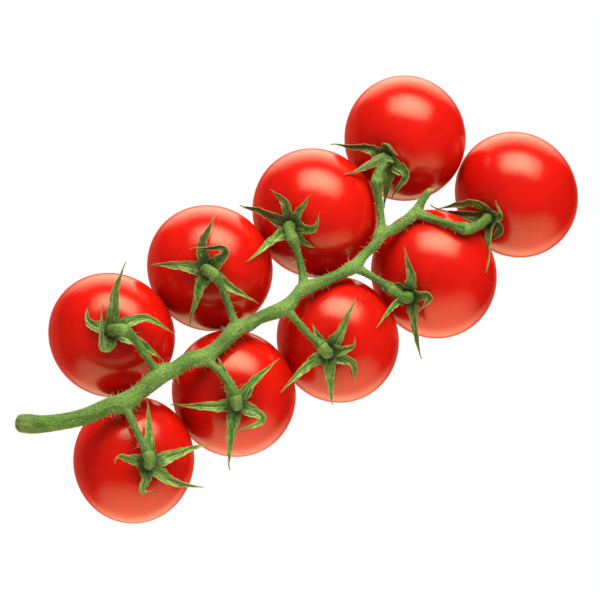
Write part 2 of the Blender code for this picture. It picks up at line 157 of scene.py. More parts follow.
# One green leaf of a calyx, and how far it has aged, from 0 to 1, which also sets painted shade on
# leaves in shadow: see sepal_spine.
Sepal = namedtuple("Sepal", "bearing length rise fall turn bend age")
SEPALS = {
    1: (
        Sepal(278, 15.7, 12, -10, 36, 0.30, 0.8),
        Sepal(178, 18.2, 67, 32, 154, 0.15, 0.6),
        Sepal(105, 14.8, 11, -4, -100, 0.40, 0.4),
        Sepal(51, 14.3, 16, -25, -24, 0.35, 0.4),
        Sepal(215, 10.0, 20, 40, -115, 0.45, 0.9),
    ),
    2: (
        Sepal(244, 16.6, 17, 11, 91, 0.25, 0.3),
        Sepal(313, 16.7, 22, -15, 2, 0.20, 0.9),
        Sepal(157, 11.4, 24, 27, 80, 0.45, 0.4),
        Sepal(123, 11.3, 18, -9, -122, 0.35, 0.7),
        Sepal(85, 17.8, 52, 59, -15, 0.60, 0.5),
    ),
    3: (
        Sepal(296, 14.9, 13, -17, 22, 0.45, 0.9),
        Sepal(240, 11.9, 15, -32, 57, 0.45, 0.8),
        Sepal(196, 10.8, 21, 1, 9, 0.65, 0.5),
        Sepal(144, 12.2, 11, 20, 81, 0.60, 0.4),
        Sepal(10, 17.6, 65, 59, 3, 0.40, 0.1),
        Sepal(95, 8.0, 12, -40, 10, 0.40, 0.4),
    ),
    4: (
        Sepal(307, 14.5, 11, -29, 10, 0.40, 0.6),
        Sepal(241, 14.8, 11, -27, -36, 0.35, 0.9),
        Sepal(179, 16.5, 20, -10, 140, 0.40, 0.8),
        Sepal(103, 15.5, 9, -23, 6, 0.50, 0.1),
        Sepal(29, 14.7, 11, -27, 2, 0.45, 0.1),
    ),
    5: (
        Sepal(232, 17.7, 7, -16, -15, 0.50, 0.7),
        Sepal(173, 17.6, 13, -31, -58, 0.45, 0.1),
        Sepal(125, 15.0, 11, -27, -18, 0.45, 0.1),
        Sepal(42, 18.2, 26, -2, -170, 0.30, 0.4),
        Sepal(308, 9.8, 16, -37, -74, 0.55, 0.5),
    ),
    6: (
        Sepal(178, 15.7, 10, -23, -2, 0.45, 0.2),
        Sepal(106, 16.4, 10, -15, -12, 0.75, 0.3),
        Sepal(45, 16.1, 12, -20, 31, 0.33, 0.4),
        Sepal(343, 9.6, 20, -31, 111, 0.65, 0.3),
        Sepal(252, 11.0, 13, 32, 94, 0.80, 0.4),
    ),
    7: (
        Sepal(303, 16.5, 8, -25, -7, 0.50, 0.2),
        Sepal(20, 17.1, 7, -17, 6, 0.45, 0.3),
        Sepal(99, 15.6, 16, -11, -139, 0.45, 0.2),
        Sepal(173, 15.9, 8, -23, -14, 0.45, 0.3),
        Sepal(228, 13.0, 12, -32, 6, 0.45, 0.2),
    ),
    8: (
        Sepal(193, 15.5, 8, -28, 11, 0.40, 0.5),
        Sepal(149, 10.5, 16, 29, 87, 0.70, 0.4),
        Sepal(115, 12.8, 11, -39, -78, 0.50, 0.4),
        Sepal(58, 15.0, 17, -43, -14, 0.20, 0.2),
        Sepal(347, 17.4, 42, 38, 15, 0.40, 0.2),
        Sepal(255, 7.5, 15, -20, 0, 0.40, 0.4),
    ),
    9: (
        Sepal(219, 13.4, 15, -19, 27, 0.45, 0.6),
        Sepal(315, 16.6, 78, 67, 85, 0.35, 0.2),
        Sepal(68, 17.1, 20, -14, -16, 0.20, 0.5),
        Sepal(155, 12.4, 22, 2, -151, 0.50, 0.6),
        Sepal(264, 5.9, 15, -31, 56, 0.40, 0.3),
    ),
}

# Fine fruit: lobes and swell as shares of its size, reaches in degrees from the nearer end, and
# the scar's height and the gap between two fruits' grain in millimetres
FRUIT_SIDES = 96
FRUIT_RINGS = 72
LOBES = 5
LOBE_DEPTH = 0.007
LOBE_REACH = 55
LOBE_HEIGHT = 0.3
SWELL = 0.006
SCAR_REACH = 3.0
SCAR_HEIGHT = 0.25
FRUIT_GRAIN_GAP = 50.0
FRUIT_SEED = 100
SHOULDER_REACH = 14.0
SHOULDER_PALENESS = 0.25

# Stem and stalks: each reach is the length over which a swelling or a tint fades
STEM_SIDES = 28
STEM_STEP = 0.5
STEM_VOXEL = 0.2
STEM_SMOOTHING = 7
SMOOTHING_FACTOR = 0.5
FINE_STEP = 0.4
ELBOW_ROUNDING = 36
NEAR_STALK_RADIUS = 1.0
NEAR_STALK_FLARE = 0.55
NEAR_STALK_FLARE_REACH = 2.5
KNUCKLE_RADIUS = 1.65
KNUCKLE_REACH = 1.9
FAR_KNUCKLE_REACH = 2.0
KNUCKLE_PLAY = 0.05
CUT_END_DEPTH = 1.5
FAR_STALK_RADIUS = 1.3
BULB_RADIUS = 1.7
BULB_PLACE = 2.3
BULB_REACH = 0.9
GROOVE_RADIUS = 1.25
GROOVE_PLACE = 0.9
GROOVE_REACH = 0.5
RECEPTACLE_RADIUS = 2.4
RECEPTACLE_REACH = 1.5
RECEPTACLE_HEIGHT = 0.4
RECEPTACLE_TAPER = 0.9
SEAT_ROOM = 1.0
CAP_RINGS = 5
CAP_TIP_SIZE = 0.02
LEAST_POINTS = 4
END_DEPTH = 0.3
FAR_STALK_ENDS = (0.35, 0.1)
CHUNK = 20000
# Room between the grain of one run or stalk and that of the next, so that no two look alike
GRAIN_GAP = 20.0
CALYX_GRAIN_START = 400.0
CALYX_GRAIN_GAP = 30
FORK_PALENESS = 0.8
FORK_REACH = 3.6
CUT_DRYNESS = 0.3
CUT_REACH = 2.6
TIP_DRYNESS = 0.75
TIP_REACH = 1.3
RIB_GRAIN = (0.12, 1.1, 1.1)
RIB_HEIGHT = 0.16
GRIT_GRAIN = 2.3
GRIT_HEIGHT = 0.06
# The two dried points at the stem's tip: where each ends
TIP_POINTS = ((45.8, 2.7, 31.3), (47.3, 1.2, 31.9))
TIP_POINT_RADII = (0.5, 0.16)

# Calyx leaves: sizes in millimetres, spans and places as shares of a leaf's length
SEPAL_ROOT = 1.3
SEPAL_SEAT = 0.75
SEPAL_WIDTH = 4.5
SEPAL_TAPER = 0.95
SEPAL_NECK = 0.7
SEPAL_NECK_SPAN = 0.14
SEPAL_TIP_WIDTH = 0.25
SEPAL_THICKNESS = 0.32
SEPAL_TIP_THINNING = 0.5
SEPAL_EDGE_THICKNESS = 0.1
SEPAL_CLEARANCE = 0.35
BLADE_CLEARANCE = 0.7 * SEPAL_CLEARANCE
SEPAL_ROUNDING = 2
LEAF_SLOT = 1
SEPAL_GRAIN_REACH = 50
SEPAL_ROWS = 34
SEPAL_COLUMNS = 10
BEND_SPAN = 0.44
FOLD_SPAN = 0.26
FOLD_TURN = 100
CURL_START = 0.86
# Length from a leaf's root over which the painted shade of the calyx's hollow fades
HOLLOW_SHADE_REACH = 2.2
RIM_RIPPLE = 0.2
# Waves on a leaf's length: of its left and right rims, of its left and right edges, of its lean
RIM_WAVES = ((1.7, 4.3, 7.1), (1.9, 3.7, 8.3))
EDGE_WAVES = ((1.3, 2.9, 5.9), (1.1, 3.1, 6.7))
LEAN_WAVES = (0.6, 1.4)
FOLD_ANGLES = (14, 30)
FOLD_AT_ROOT = 0.4
FOLD_OPENING = 0.35
TIP_FOLD = 28
TIP_FOLD_START = 0.55
TIP_FOLD_SPAN = 0.4
FOLD_ROUNDNESS = 1.2
SIDE_LEAN = 22
LEAN_SPAN = 0.3
EDGE_WAVE = 0.28
MIDRIB_DEPTH = 0.10
MIDRIB_REACH = 0.16
TIP_CURLS = (5, 30)
CALYX_SEED = 500
# The far stalk: how pale and dry it is at its knuckle, and how much shade is painted on it in the
# calyx's hollow
KNUCKLE_PALENESS = 0.5
KNUCKLE_PALE_REACH = 1.8
KNUCKLE_DRYNESS = 0.1
STALK_HOLLOW_SHADE = 0.9
STALK_HOLLOW_SHADE_PLACE = 0.6
STALK_HOLLOW_SHADE_REACH = 0.7

# Hairs: sizes in millimetres
HAIR_SIDES = 3
# Rings of a hair under its point: how far along it, and their size
HAIR_RINGS = ((0.0, 1.0), (0.5, 0.75))
HAIR_GRAIN_REACH = 90
HAIR_RADIUS = 0.03
FUZZ_LENGTHS = (0.2, 0.55)
LONG_LENGTHS = (0.7, 2.3)
# Long hairs along the main stem: from and to a share of its length, and how thick they grow
LONG_HAIR_RUNS = ((0.02, 0.14, 0.5), (0.14, 0.42, 1.7), (0.42, 0.98, 0.7))
HAIR_SEED = 12
HAIR_ROOT = 0.93
HAIR_SPREAD = 0.25
HAIR_BEND = 0.4
HAIR_BEND_SHARE = 0.25
HAIR_DROOP = (0, 0, -0.2)
# Spans of a stalk, as shares of its length, that bear fuzz and long hairs
NEAR_FUZZ_SPAN = (0.1, 1)
NEAR_LONG_SPAN = (0.2, 0.9)
FAR_FUZZ_SPAN = (0.1, 0.6)

# Camera: the point that it looks at, its distance, its lean from straight down, the compass
# bearing of picture-up before the roll, and the roll.
CAMERA_TARGET = (2.0, -3.0, 17.0)
CAMERA_DISTANCE = 1100.0
CAMERA_LEAN = 20
CAMERA_BEARING = 6
CAMERA_ROLL = 40
PICTURE_WIDTH = 163.2

# Studio, in metres
GROUND_REACH = 6.0
SOFTBOX_DISTANCE = 0.9
SOFTBOX_CELLS = 24
SOFTBOX_FADE = 1.2
# Each softbox: its angle from the view line, its clock angle, and the two angles that it fills
SOFTBOXES = {
    "key_softbox": (58, 80, 76, 52),
    "low_key_panel": (128, 88, 85, 62),
    "side_reflector": (80, -86, 120, 92),
    "low_reflector": (130, -85, 90, 56),
}
TABLE_GLOW_DEPTH = SOFTBOX_DISTANCE * 1.4
TABLE_GLOW_REACH = SOFTBOX_DISTANCE * 2
TABLE_GLOW_FADE = 0.2


def linear(hex_colour):
    """An sRGB hex colour as linear red, green and blue."""
    values = [int(hex_colour[i : i + 2], 16) / 255 for i in (1, 3, 5)]
    return tuple(v / 12.92 if v <= 0.04045 else ((v + 0.055) / 1.055) ** 2.4 for v in values)


def turn_matrix(axis, degrees):
    """Rotation about one of the axes, as an array."""
    return np.array(Matrix.Rotation(math.radians(degrees), 3, axis))


def unit(vectors):
    """Vectors scaled to length 1."""
    return vectors / np.linalg.norm(vectors, axis=-1, keepdims=True)


def smooth_step(share):
    """A share from 0 to 1 eased at both ends."""
    share = np.clip(share, 0.0, 1.0)
    return share * share * (3 - 2 * share)


# Fruit form


def fruit_axes(fruit):
    """The fruit's own axes as the columns of a matrix."""
    return turn_matrix("Z", fruit.bearing) @ turn_matrix("Y", fruit.lean)


def fruit_stretch(fruit):
    """Matrix that makes a turned fruit broader across its own axis."""
    turn = turn_matrix("Z", fruit.broadside)
    return turn @ np.diag((1.0, BREADTH, 1.0)) @ turn.T


def fruit_middle(fruit):
    """The fruit's middle when it rests on its flat spot."""
    reach = (fruit_axes(fruit) @ fruit_stretch(fruit) @ np.diag((1.0, 1.0, FLATNESS)))[2]
    half_height = fruit.radius * np.linalg.norm(reach)
    return np.array([fruit.x, fruit.y, half_height - FLAT_SPOT_DEPTH])


def skin_profile(fruit, angle):
    """Distance from the fruit's axis and height over its middle, at an angle from its top."""
    across = fruit.radius * np.sin(angle)
    height = fruit.radius * FLATNESS * np.cos(angle)
    dimple = DIMPLE_DEPTH * np.exp(-((across / DIMPLE_REACH) ** 2))
    return across, np.where(height > 0, height - dimple, height)


def to_table(fruit, points):
    """Points in a fruit's own axes, placed on the table."""
    return points @ fruit_axes(fruit).T + fruit_middle(fruit)


def to_fruit(fruit, points):
    """Points on the table, in a fruit's own axes."""
    return (points - fruit_middle(fruit)) @ fruit_axes(fruit)


def clear_of_skin(fruit, points, clearance):
    """Points moved out from a fruit's middle where they are too near to its skin."""
    own = to_fruit(fruit, points)
    bare = own @ np.linalg.inv(fruit_stretch(fruit)).T
    across = np.hypot(bare[:, 0], bare[:, 1])
    angle = np.arctan2(across / fruit.radius, bare[:, 2] / (fruit.radius * FLATNESS))
    skin = np.hypot(*skin_profile(fruit, angle)) + clearance
    stretch = np.maximum(1.0, skin / np.hypot(across, bare[:, 2]))
    return to_table(fruit, own * stretch[:, None])


def clear_of_fruits(own_fruit, points, clearance=SEPAL_CLEARANCE):
    """Points moved clear of every fruit, and of their own fruit last."""
    for fruit in (*FRUITS.values(), own_fruit):
        points = clear_of_skin(fruit, points, clearance)
    return points


def seat_height(fruit):
    """Height of a calyx's seat over its fruit's middle."""
    return fruit.radius * FLATNESS - DIMPLE_DEPTH + GAP


# Routes


def smooth_route(points, step):
    """Points about one step apart on a smooth curve through the given ones."""
    points = [np.array(point, float) for point in points]
    ends = [points[0] * 2 - points[1], *points, points[-1] * 2 - points[-2]]
    route = []
    for before, start, end, after in zip(ends, ends[1:], ends[2:], ends[3:]):
        leave = (end - before) / 2
        arrive = (after - start) / 2
        count = max(1, round(float(np.linalg.norm((end - start)[:3])) / step))
        for t in np.arange(count) / count:
            route.append(
                start * (2 * t**3 - 3 * t**2 + 1)
                + leave * (t**3 - 2 * t**2 + t)
                + end * (3 * t**2 - 2 * t**3)
                + arrive * (t**3 - t**2)
            )
    return np.array([*route, points[-1]])


def rounded(route, passes):
    """The route with its sharp turns eased, and its ends kept."""
    for _ in range(passes):
        inner = (route[:-2] + route[1:-1] * 2 + route[2:]) / 4
        route = np.vstack([route[:1], inner, route[-1:]])
    return route


def lengths_along(route):
    """Length of a route up to each of its points."""
    return np.r_[0.0, np.cumsum(np.linalg.norm(np.diff(route[:, :3], axis=0), axis=1))]


def at_lengths(route, wanted):
    """Points of a route at the wanted lengths along it."""
    lengths = lengths_along(route)
    return np.stack([np.interp(wanted, lengths, column) for column in route.T], axis=1)


def stalk_route(number):
    """The whole stalk of one fruit, from the main stem to the seat of its calyx."""
    fruit = FRUITS[number]
    seat = seat_height(fruit)
    ends = to_table(fruit, np.array([[0, 0, seat + RECEPTACLE_REACH], [0, 0, seat]]))
    return rounded(smooth_route([*STALKS[number].points, *ends], FINE_STEP), ELBOW_ROUNDING)


def carried_frames(points, outward=(0.0, 0.0, 1.0)):
    """Directions along, across and up at each point of a route, without twist.

    Across starts square to the way outward.
    """
    along = unit(np.gradient(points, axis=0))
    first = np.cross(along[0], outward)
    across = [first / np.linalg.norm(first)]
    for way in along[1:]:
        side = across[-1] - way * (across[-1] @ way)
        across.append(side / np.linalg.norm(side))
    across = np.array(across)
    return along, across, np.cross(along, across)


# Meshes


class Build:
    """Vertices, faces and shading values gathered for one piece."""

    def __init__(self):
        self.points = []
        self.faces = []
        self.slots = []
        self.values = {"grain": [], "tint": [], "blade": []}
        self.count = 0

    def add(self, points, faces, slot=0, **values):
        points = np.asarray(points, float).reshape(-1, 3)
        self.points.append(points)
        self.faces += [tuple(self.count + corner for corner in face) for face in faces]
        self.slots += [slot] * len(faces)
        for name, kept in self.values.items():
            given = values.get(name)
            blank = np.zeros((len(points), 3))
            kept.append(blank if given is None else np.asarray(given, float).reshape(-1, 3))
        self.count += len(points)

    def mesh(self, name):
        mesh = bpy.data.meshes.new(name)
        mesh.from_pydata((np.vstack(self.points) * MM).tolist(), [], self.faces)
        mesh.polygons.foreach_set("material_index", self.slots)
        for value, kept in self.values.items():
            layer = mesh.attributes.new(value, "FLOAT_VECTOR", "POINT")
            layer.data.foreach_set("vector", np.vstack(kept).ravel())
        mesh.shade_smooth()
        return mesh


def grid_faces(rows, columns, closed=True, flip=False):
    """Quads over rows of points, whose columns close into rings if closed."""
    faces = []
    last = columns if closed else columns - 1
    for row in range(rows - 1):
        for column in range(last):
            after = (column + 1) % columns
            face = (
                row * columns + column,
                row * columns + after,
                (row + 1) * columns + after,
                (row + 1) * columns + column,
            )
            faces.append(face[::-1] if flip else face)
    return faces


def capped(points, radii, depths):
    """A route with extra rings that round off its two ends."""
    points, radii = list(points), list(radii)
    start_way = unit(points[0] - points[1])
    end_way = unit(points[-1] - points[-2])
    start, end, first, last = points[0], points[-1], radii[0], radii[-1]
    for ring in range(1, CAP_RINGS + 1):
        angle = math.pi / 2 * ring / CAP_RINGS
        size = max(math.cos(angle), CAP_TIP_SIZE)
        points.insert(0, start + start_way * depths[0] * math.sin(angle))
        radii.insert(0, first * size)
        points.append(end + end_way * depths[1] * math.sin(angle))
        radii.append(last * size)
    return np.array(points), np.array(radii)


def skin_height(grain):
    """Height of the stem's ribs and grit at places given by their grain."""
    heights = []
    for along, across, up in grain.reshape(-1, 3).tolist():
        rib = noise.noise((along * RIB_GRAIN[0], across * RIB_GRAIN[1], up * RIB_GRAIN[2]))
        grit = noise.noise((along * GRIT_GRAIN, across * GRIT_GRAIN, up * GRIT_GRAIN))
        heights.append(RIB_HEIGHT * rib + GRIT_HEIGHT * grit)
    return np.array(heights).reshape(grain.shape[:-1])


def add_tube(build, points, radii, depths, tint=None, start=0.0):
    """A closed round tube with its length and section stored for its grain.

    The depths are those of its two rounded ends. A tint also gives it ribs and grit.
    """
    body, sides = len(points), STEM_SIDES
    points, radii = capped(points, radii, depths)
    along, across, up = carried_frames(points)
    turns = np.linspace(0, math.tau, sides, endpoint=False)
    ring = np.cos(turns)[None, :, None] * across[:, None] + np.sin(turns)[None, :, None] * up[:, None]
    skin = points[:, None] + ring * radii[:, None, None]
    length = lengths_along(points) + start
    grain = np.stack(
        [
            np.repeat(length[:, None], sides, axis=1),
            np.cos(turns)[None] * radii[:, None],
            np.sin(turns)[None] * radii[:, None],
        ],
        axis=2,
    )
    rows = len(points)
    if tint is None:
        tint = np.zeros((body, 3))
    else:
        skin = skin + ring * skin_height(grain)[..., None]
    tint = np.vstack([np.repeat(tint[:1], CAP_RINGS, 0), tint, np.repeat(tint[-1:], CAP_RINGS, 0)])
    faces = grid_faces(rows, sides, flip=True)
    faces.append(tuple(range(sides)))
    faces.append(tuple(range((rows - 1) * sides, rows * sides))[::-1])
    build.add(skin, faces, grain=grain, tint=np.repeat(tint[:, None], sides, axis=1))


def add_piece(name, mesh, materials, replaced):
    """Adds one named piece of the truss in place of the CAD nodes that it replaces."""
    piece = bpy.data.objects.new(name, mesh)
    for material in materials:
        mesh.materials.append(material)
    bpy.context.scene.collection.objects.link(piece)
    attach(piece, BODY)
    if replaced:
        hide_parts(*replaced)


def with_modifiers(mesh, name, settings):
    """The mesh after the given modifiers."""
    guide = bpy.data.objects.new(name, mesh)
    bpy.context.scene.collection.objects.link(guide)
    for kind, values in settings:
        modifier = guide.modifiers.new(kind, kind)
        for key, value in values.items():
            setattr(modifier, key, value)
    graph = bpy.context.evaluated_depsgraph_get()
    made = bpy.data.meshes.new_from_object(guide.evaluated_get(graph))
    bpy.data.objects.remove(guide, do_unlink=True)
    return made


# Materials


def new_material(name):
    """A material and its shader."""
    material = bpy.data.materials.new(name)
    material.use_nodes = True
    return material, material.node_tree.nodes["Principled BSDF"]


def set_inputs(material, node, inputs):
    """Gives a node's sockets their values, or links them to other sockets."""
    for key, value in inputs.items():
        socket = node.inputs[key]
        if isinstance(value, bpy.types.NodeSocket):
            material.node_tree.links.new(value, socket)
        elif socket.type == "RGBA":
            socket.default_value = (*value, 1.0)
        else:
            socket.default_value = value


def add_node(material, kind, settings, inputs):
    """A shader node with its settings, values and links."""
    node = material.node_tree.nodes.new(kind)
    for key, value in settings.items():
        setattr(node, key, value)
    set_inputs(material, node, inputs)
    return node


def layered(material, colour, layers):
    """A colour with layers over it.

    Each layer has a value, where on that value it starts and where it is full, how strong it
    gets, and its colour.
    """
    for value, start, end, most, over in layers:
        inputs = {0: value, 1: start, 2: end, 3: 0.0, 4: most}
        share = add_node(material, "ShaderNodeMapRange", {}, inputs).outputs[0]
        inputs = {0: share, 6: colour, 7: over}
        mix = add_node(material, "ShaderNodeMix", {"data_type": "RGBA"}, inputs)
        colour = mix.outputs[2]
    return colour


def tomato_skin(settings):
    """Ripe tomato skin, a clear waxy cuticle over red flesh: saturated colour under clean gloss."""
    material, shader = new_material("tomato_skin_waxy")
    place, marks = (
        add_node(material, "ShaderNodeAttribute", {"attribute_name": name}, {}).outputs["Vector"]
        for name in ("grain", "tint")
    )
    mark = add_node(material, "ShaderNodeSeparateXYZ", {}, {0: marks}).outputs
    # Patches about 10 mm wide, waves of 3 mm, and specks under the cuticle 0.7 mm apart
    patches = add_node(
        material, "ShaderNodeTexNoise", {}, {"Vector": place, "Scale": 0.09, "Detail": 2.0}
    ).outputs["Fac"]
    waves = add_node(
        material, "ShaderNodeTexNoise", {}, {"Vector": place, "Scale": 0.35, "Detail": 2.0}
    ).outputs["Fac"]
    specks = add_node(
        material, "ShaderNodeTexVoronoi", {}, {"Vector": place, "Scale": 1.4}
    ).outputs["Distance"]
    # The last two layers are the corky scar of the flower and the pale skin round the stalk
    layers = (
        (patches, 0.35, 0.65, 1.0, settings.deep),
        (specks, 0.16, 0.05, 0.35, settings.speck),
        (mark["X"], 0.0, 1.0, 1.0, settings.scar),
        (mark["Y"], 0.0, 1.0, 1.0, settings.shoulder),
    )
    skin = add_node(
        material, "ShaderNodeBump", {}, {"Height": waves, "Distance": 0.1 * MM, "Strength": 0.5}
    ).outputs[0]
    values = {
        "Base Color": layered(material, settings.ripe, layers),
        "Normal": skin,
        "Roughness": settings.roughness,
        "IOR": 1.45,
        "Specular Tint": (1.0, 0.95, 0.85),
        "Subsurface Weight": settings.flesh_glow,
        "Subsurface Radius": (1.0, 0.12, 0.06),
        "Subsurface Scale": 2.5 * MM,
    }
    set_inputs(material, shader, values)
    return material


def stem_skin(settings):
    """Young tomato stem, ribbed green skin under fine down: matte, streaked along its length."""
    material, shader = new_material("tomato_stem_downy")
    grain, marks = (
        add_node(material, "ShaderNodeAttribute", {"attribute_name": name}, {}).outputs["Vector"]
        for name in ("grain", "tint")
    )
    mark = add_node(material, "ShaderNodeSeparateXYZ", {}, {0: marks}).outputs
    # Streaks about 0.8 mm wide and 7 mm long, blotches of 2 mm, and the roots of the down, which
    # are 0.2 mm apart and drawn twice as coarse so that they show
    streak_place = add_node(
        material, "ShaderNodeVectorMath", {"operation": "MULTIPLY"}, {0: grain, 1: (0.12, 1.0, 1.0)}
    ).outputs[0]
    blotch_place = add_node(
        material, "ShaderNodeVectorMath", {"operation": "MULTIPLY"}, {0: grain, 1: (0.5, 1.0, 1.0)}
    ).outputs[0]
    patterns = []
    for place, scale, detail in (
        (streak_place, 1.3, 2.0), (blotch_place, 0.5, 3.0), (grain, 2.2, 3.0)
    ):
        inputs = {"Vector": place, "Scale": scale, "Detail": detail, "Roughness": 0.65}
        patterns.append(add_node(material, "ShaderNodeTexNoise", {}, inputs).outputs["Fac"])
    streaks, blotches, dots = patterns
    # Of the marks, X is a pale fork, Y a dry end, and Z painted shade in the hollow under a calyx
    layers = (
        (streaks, 0.56, 0.40, 0.9, settings.stem_deep),
        (blotches, 0.52, 0.64, 0.6, settings.stem_olive),
        (mark["X"], 0.0, 1.0, 1.0, settings.stem_pale),
        (dots, 0.50, 0.38, 0.75, settings.stem_shade),
        (dots, 0.54, 0.68, 0.35, settings.stem_light),
        (mark["Y"], 0.0, 1.0, 1.0, settings.dry),
        (mark["Z"], 0.0, 1.0, 1.0, settings.painted_hollow_shade),
    )
    ribs = add_node(
        material, "ShaderNodeBump", {}, {"Height": streaks, "Distance": 0.3 * MM, "Strength": 0.6}
    ).outputs[0]
    inputs = {"Height": dots, "Distance": 0.2 * MM, "Strength": 0.7, "Normal": ribs}
    grit = add_node(material, "ShaderNodeBump", {}, inputs).outputs[0]
    values = {
        "Base Color": layered(material, settings.stem_green, layers),
        "Normal": grit,
        "Roughness": 0.65,
        "IOR": 1.4,
        "Subsurface Weight": 0.1,
        "Subsurface Radius": (0.5, 1.0, 0.2),
        "Subsurface Scale": 0.4 * MM,
        "Sheen Weight": 0.05,
        "Sheen Roughness": 0.5,
    }
    set_inputs(material, shader, values)
    return material


def leaf_skin(settings):
    """Tomato calyx leaf, thin veined blade with a paler rim: matte, with painted shade along its fold.
    """
    material, shader = new_material("calyx_leaf_veined")
    blade, grain, marks = (
        add_node(material, "ShaderNodeAttribute", {"attribute_name": name}, {}).outputs["Vector"]
        for name in ("blade", "grain", "tint")
    )
    part = add_node(material, "ShaderNodeSeparateXYZ", {}, {0: blade}).outputs
    mark = add_node(material, "ShaderNodeSeparateXYZ", {}, {0: marks}).outputs
    side = add_node(
        material, "ShaderNodeMath", {"operation": "ABSOLUTE"}, {0: part["X"]}
    ).outputs[0]
    # Veins about 0.5 mm apart across the blade and drawn out along it, and mottles of 0.8 mm
    vein_place = add_node(
        material, "ShaderNodeVectorMath", {"operation": "MULTIPLY"}, {0: grain, 1: (0.14, 1.0, 1.0)}
    ).outputs[0]
    patterns = []
    for place, scale in ((vein_place, 2.0), (grain, 1.2), (grain, 0.35)):
        inputs = {"Vector": place, "Scale": scale, "Detail": 3.0, "Roughness": 0.6}
        patterns.append(add_node(material, "ShaderNodeTexNoise", {}, inputs).outputs["Fac"])
    veins, mottles, patches = patterns
    # Age browns a leaf in patches, and most towards its tip; the same darkening also paints shade on
    # the leaves that lie in shadow
    inputs = {0: part["Y"], 1: 0.5, 2: patches}
    ageing = add_node(material, "ShaderNodeMath", {"operation": "MULTIPLY_ADD"}, inputs).outputs[0]
    aged_and_shaded = add_node(
        material, "ShaderNodeMath", {"operation": "MULTIPLY"}, {0: ageing, 1: mark["X"]}
    ).outputs[0]
    # On the blade, X runs from its left to its right edge, Y to its tip, and Z marks its root, where
    # the calyx's hollow is painted as shade
    layers = (
        (mottles, 0.56, 0.42, 0.9, settings.leaf_deep),
        (veins, 0.48, 0.60, 0.85, settings.leaf_light),
        (aged_and_shaded, 0.12, 0.70, 0.95, settings.leaf_old_and_shaded),
        # Painted shade in the crease along the leaf's fold
        (side, 0.22, 0.0, 0.6, settings.leaf_fold_shade),
        (side, 0.82, 0.98, 0.7, settings.leaf_rim),
        (part["Y"], 0.84, 0.97, 0.85, settings.leaf_tip),
        (part["Z"], 0.0, 1.0, 0.9, settings.painted_hollow_shade),
    )
    ridges = add_node(
        material, "ShaderNodeBump", {}, {"Height": veins, "Distance": 0.25 * MM, "Strength": 0.8}
    ).outputs[0]
    values = {
        "Base Color": layered(material, settings.leaf_green, layers),
        "Normal": ridges,
        "Roughness": 0.5,
        "IOR": 1.42,
        "Subsurface Weight": 0.1,
        "Subsurface Radius": (0.4, 1.0, 0.2),
        "Subsurface Scale": 0.3 * MM,
        "Sheen Weight": 0.1,
        "Sheen Roughness": 0.5,
    }
    set_inputs(material, shader, values)
    return material


def hair_skin(settings):
    """Plant down, clear glassy hairs: pale and a little shiny against the dark."""
    material, shader = new_material("plant_down_clear")
    grain = add_node(material, "ShaderNodeAttribute", {"attribute_name": "grain"}, {}).outputs["Vector"]
    shade = add_node(
        material, "ShaderNodeTexNoise", {}, {"Vector": grain, "Scale": 0.4, "Detail": 1.0}
    ).outputs["Fac"]
    inputs = {0: shade, 6: settings.hair_pale, 7: settings.hair_green}
    pale = add_node(material, "ShaderNodeMix", {"data_type": "RGBA"}, inputs).outputs[2]
    set_inputs(material, shader, {"Base Color": pale, "Roughness": 0.35, "IOR": 1.4})
    return material


def studio_white(settings):
    """White opal acrylic sheet lit from below: a pale ground with no shadow."""
    material, shader = new_material("opal_acrylic_backlit")
    values = {
        "Base Color": (0.0, 0.0, 0.0),
        "Roughness": 1.0,
        "Specular IOR Level": 0.0,
        "Emission Color": settings.ground,
        "Emission Strength": 1.0,
    }
    set_inputs(material, shader, values)
    return material


def softbox_cloth(name, colour, brightness):
    """Diffusing cloth of a softbox: dense in its middle, and thinning to nothing at its edges."""
    material, shader = new_material(name)
    marks = add_node(material, "ShaderNodeAttribute", {"attribute_name": "tint"}, {}).outputs["Vector"]
    glow = add_node(material, "ShaderNodeSeparateXYZ", {}, {0: marks}).outputs["X"]
    values = {
        "Base Color": (0.0, 0.0, 0.0),
        "Specular IOR Level": 0.0,
        "Emission Color": colour,
        "Emission Strength": brightness,
        "Alpha": glow,
    }
    set_inputs(material, shader, values)
    return material


# Fruit


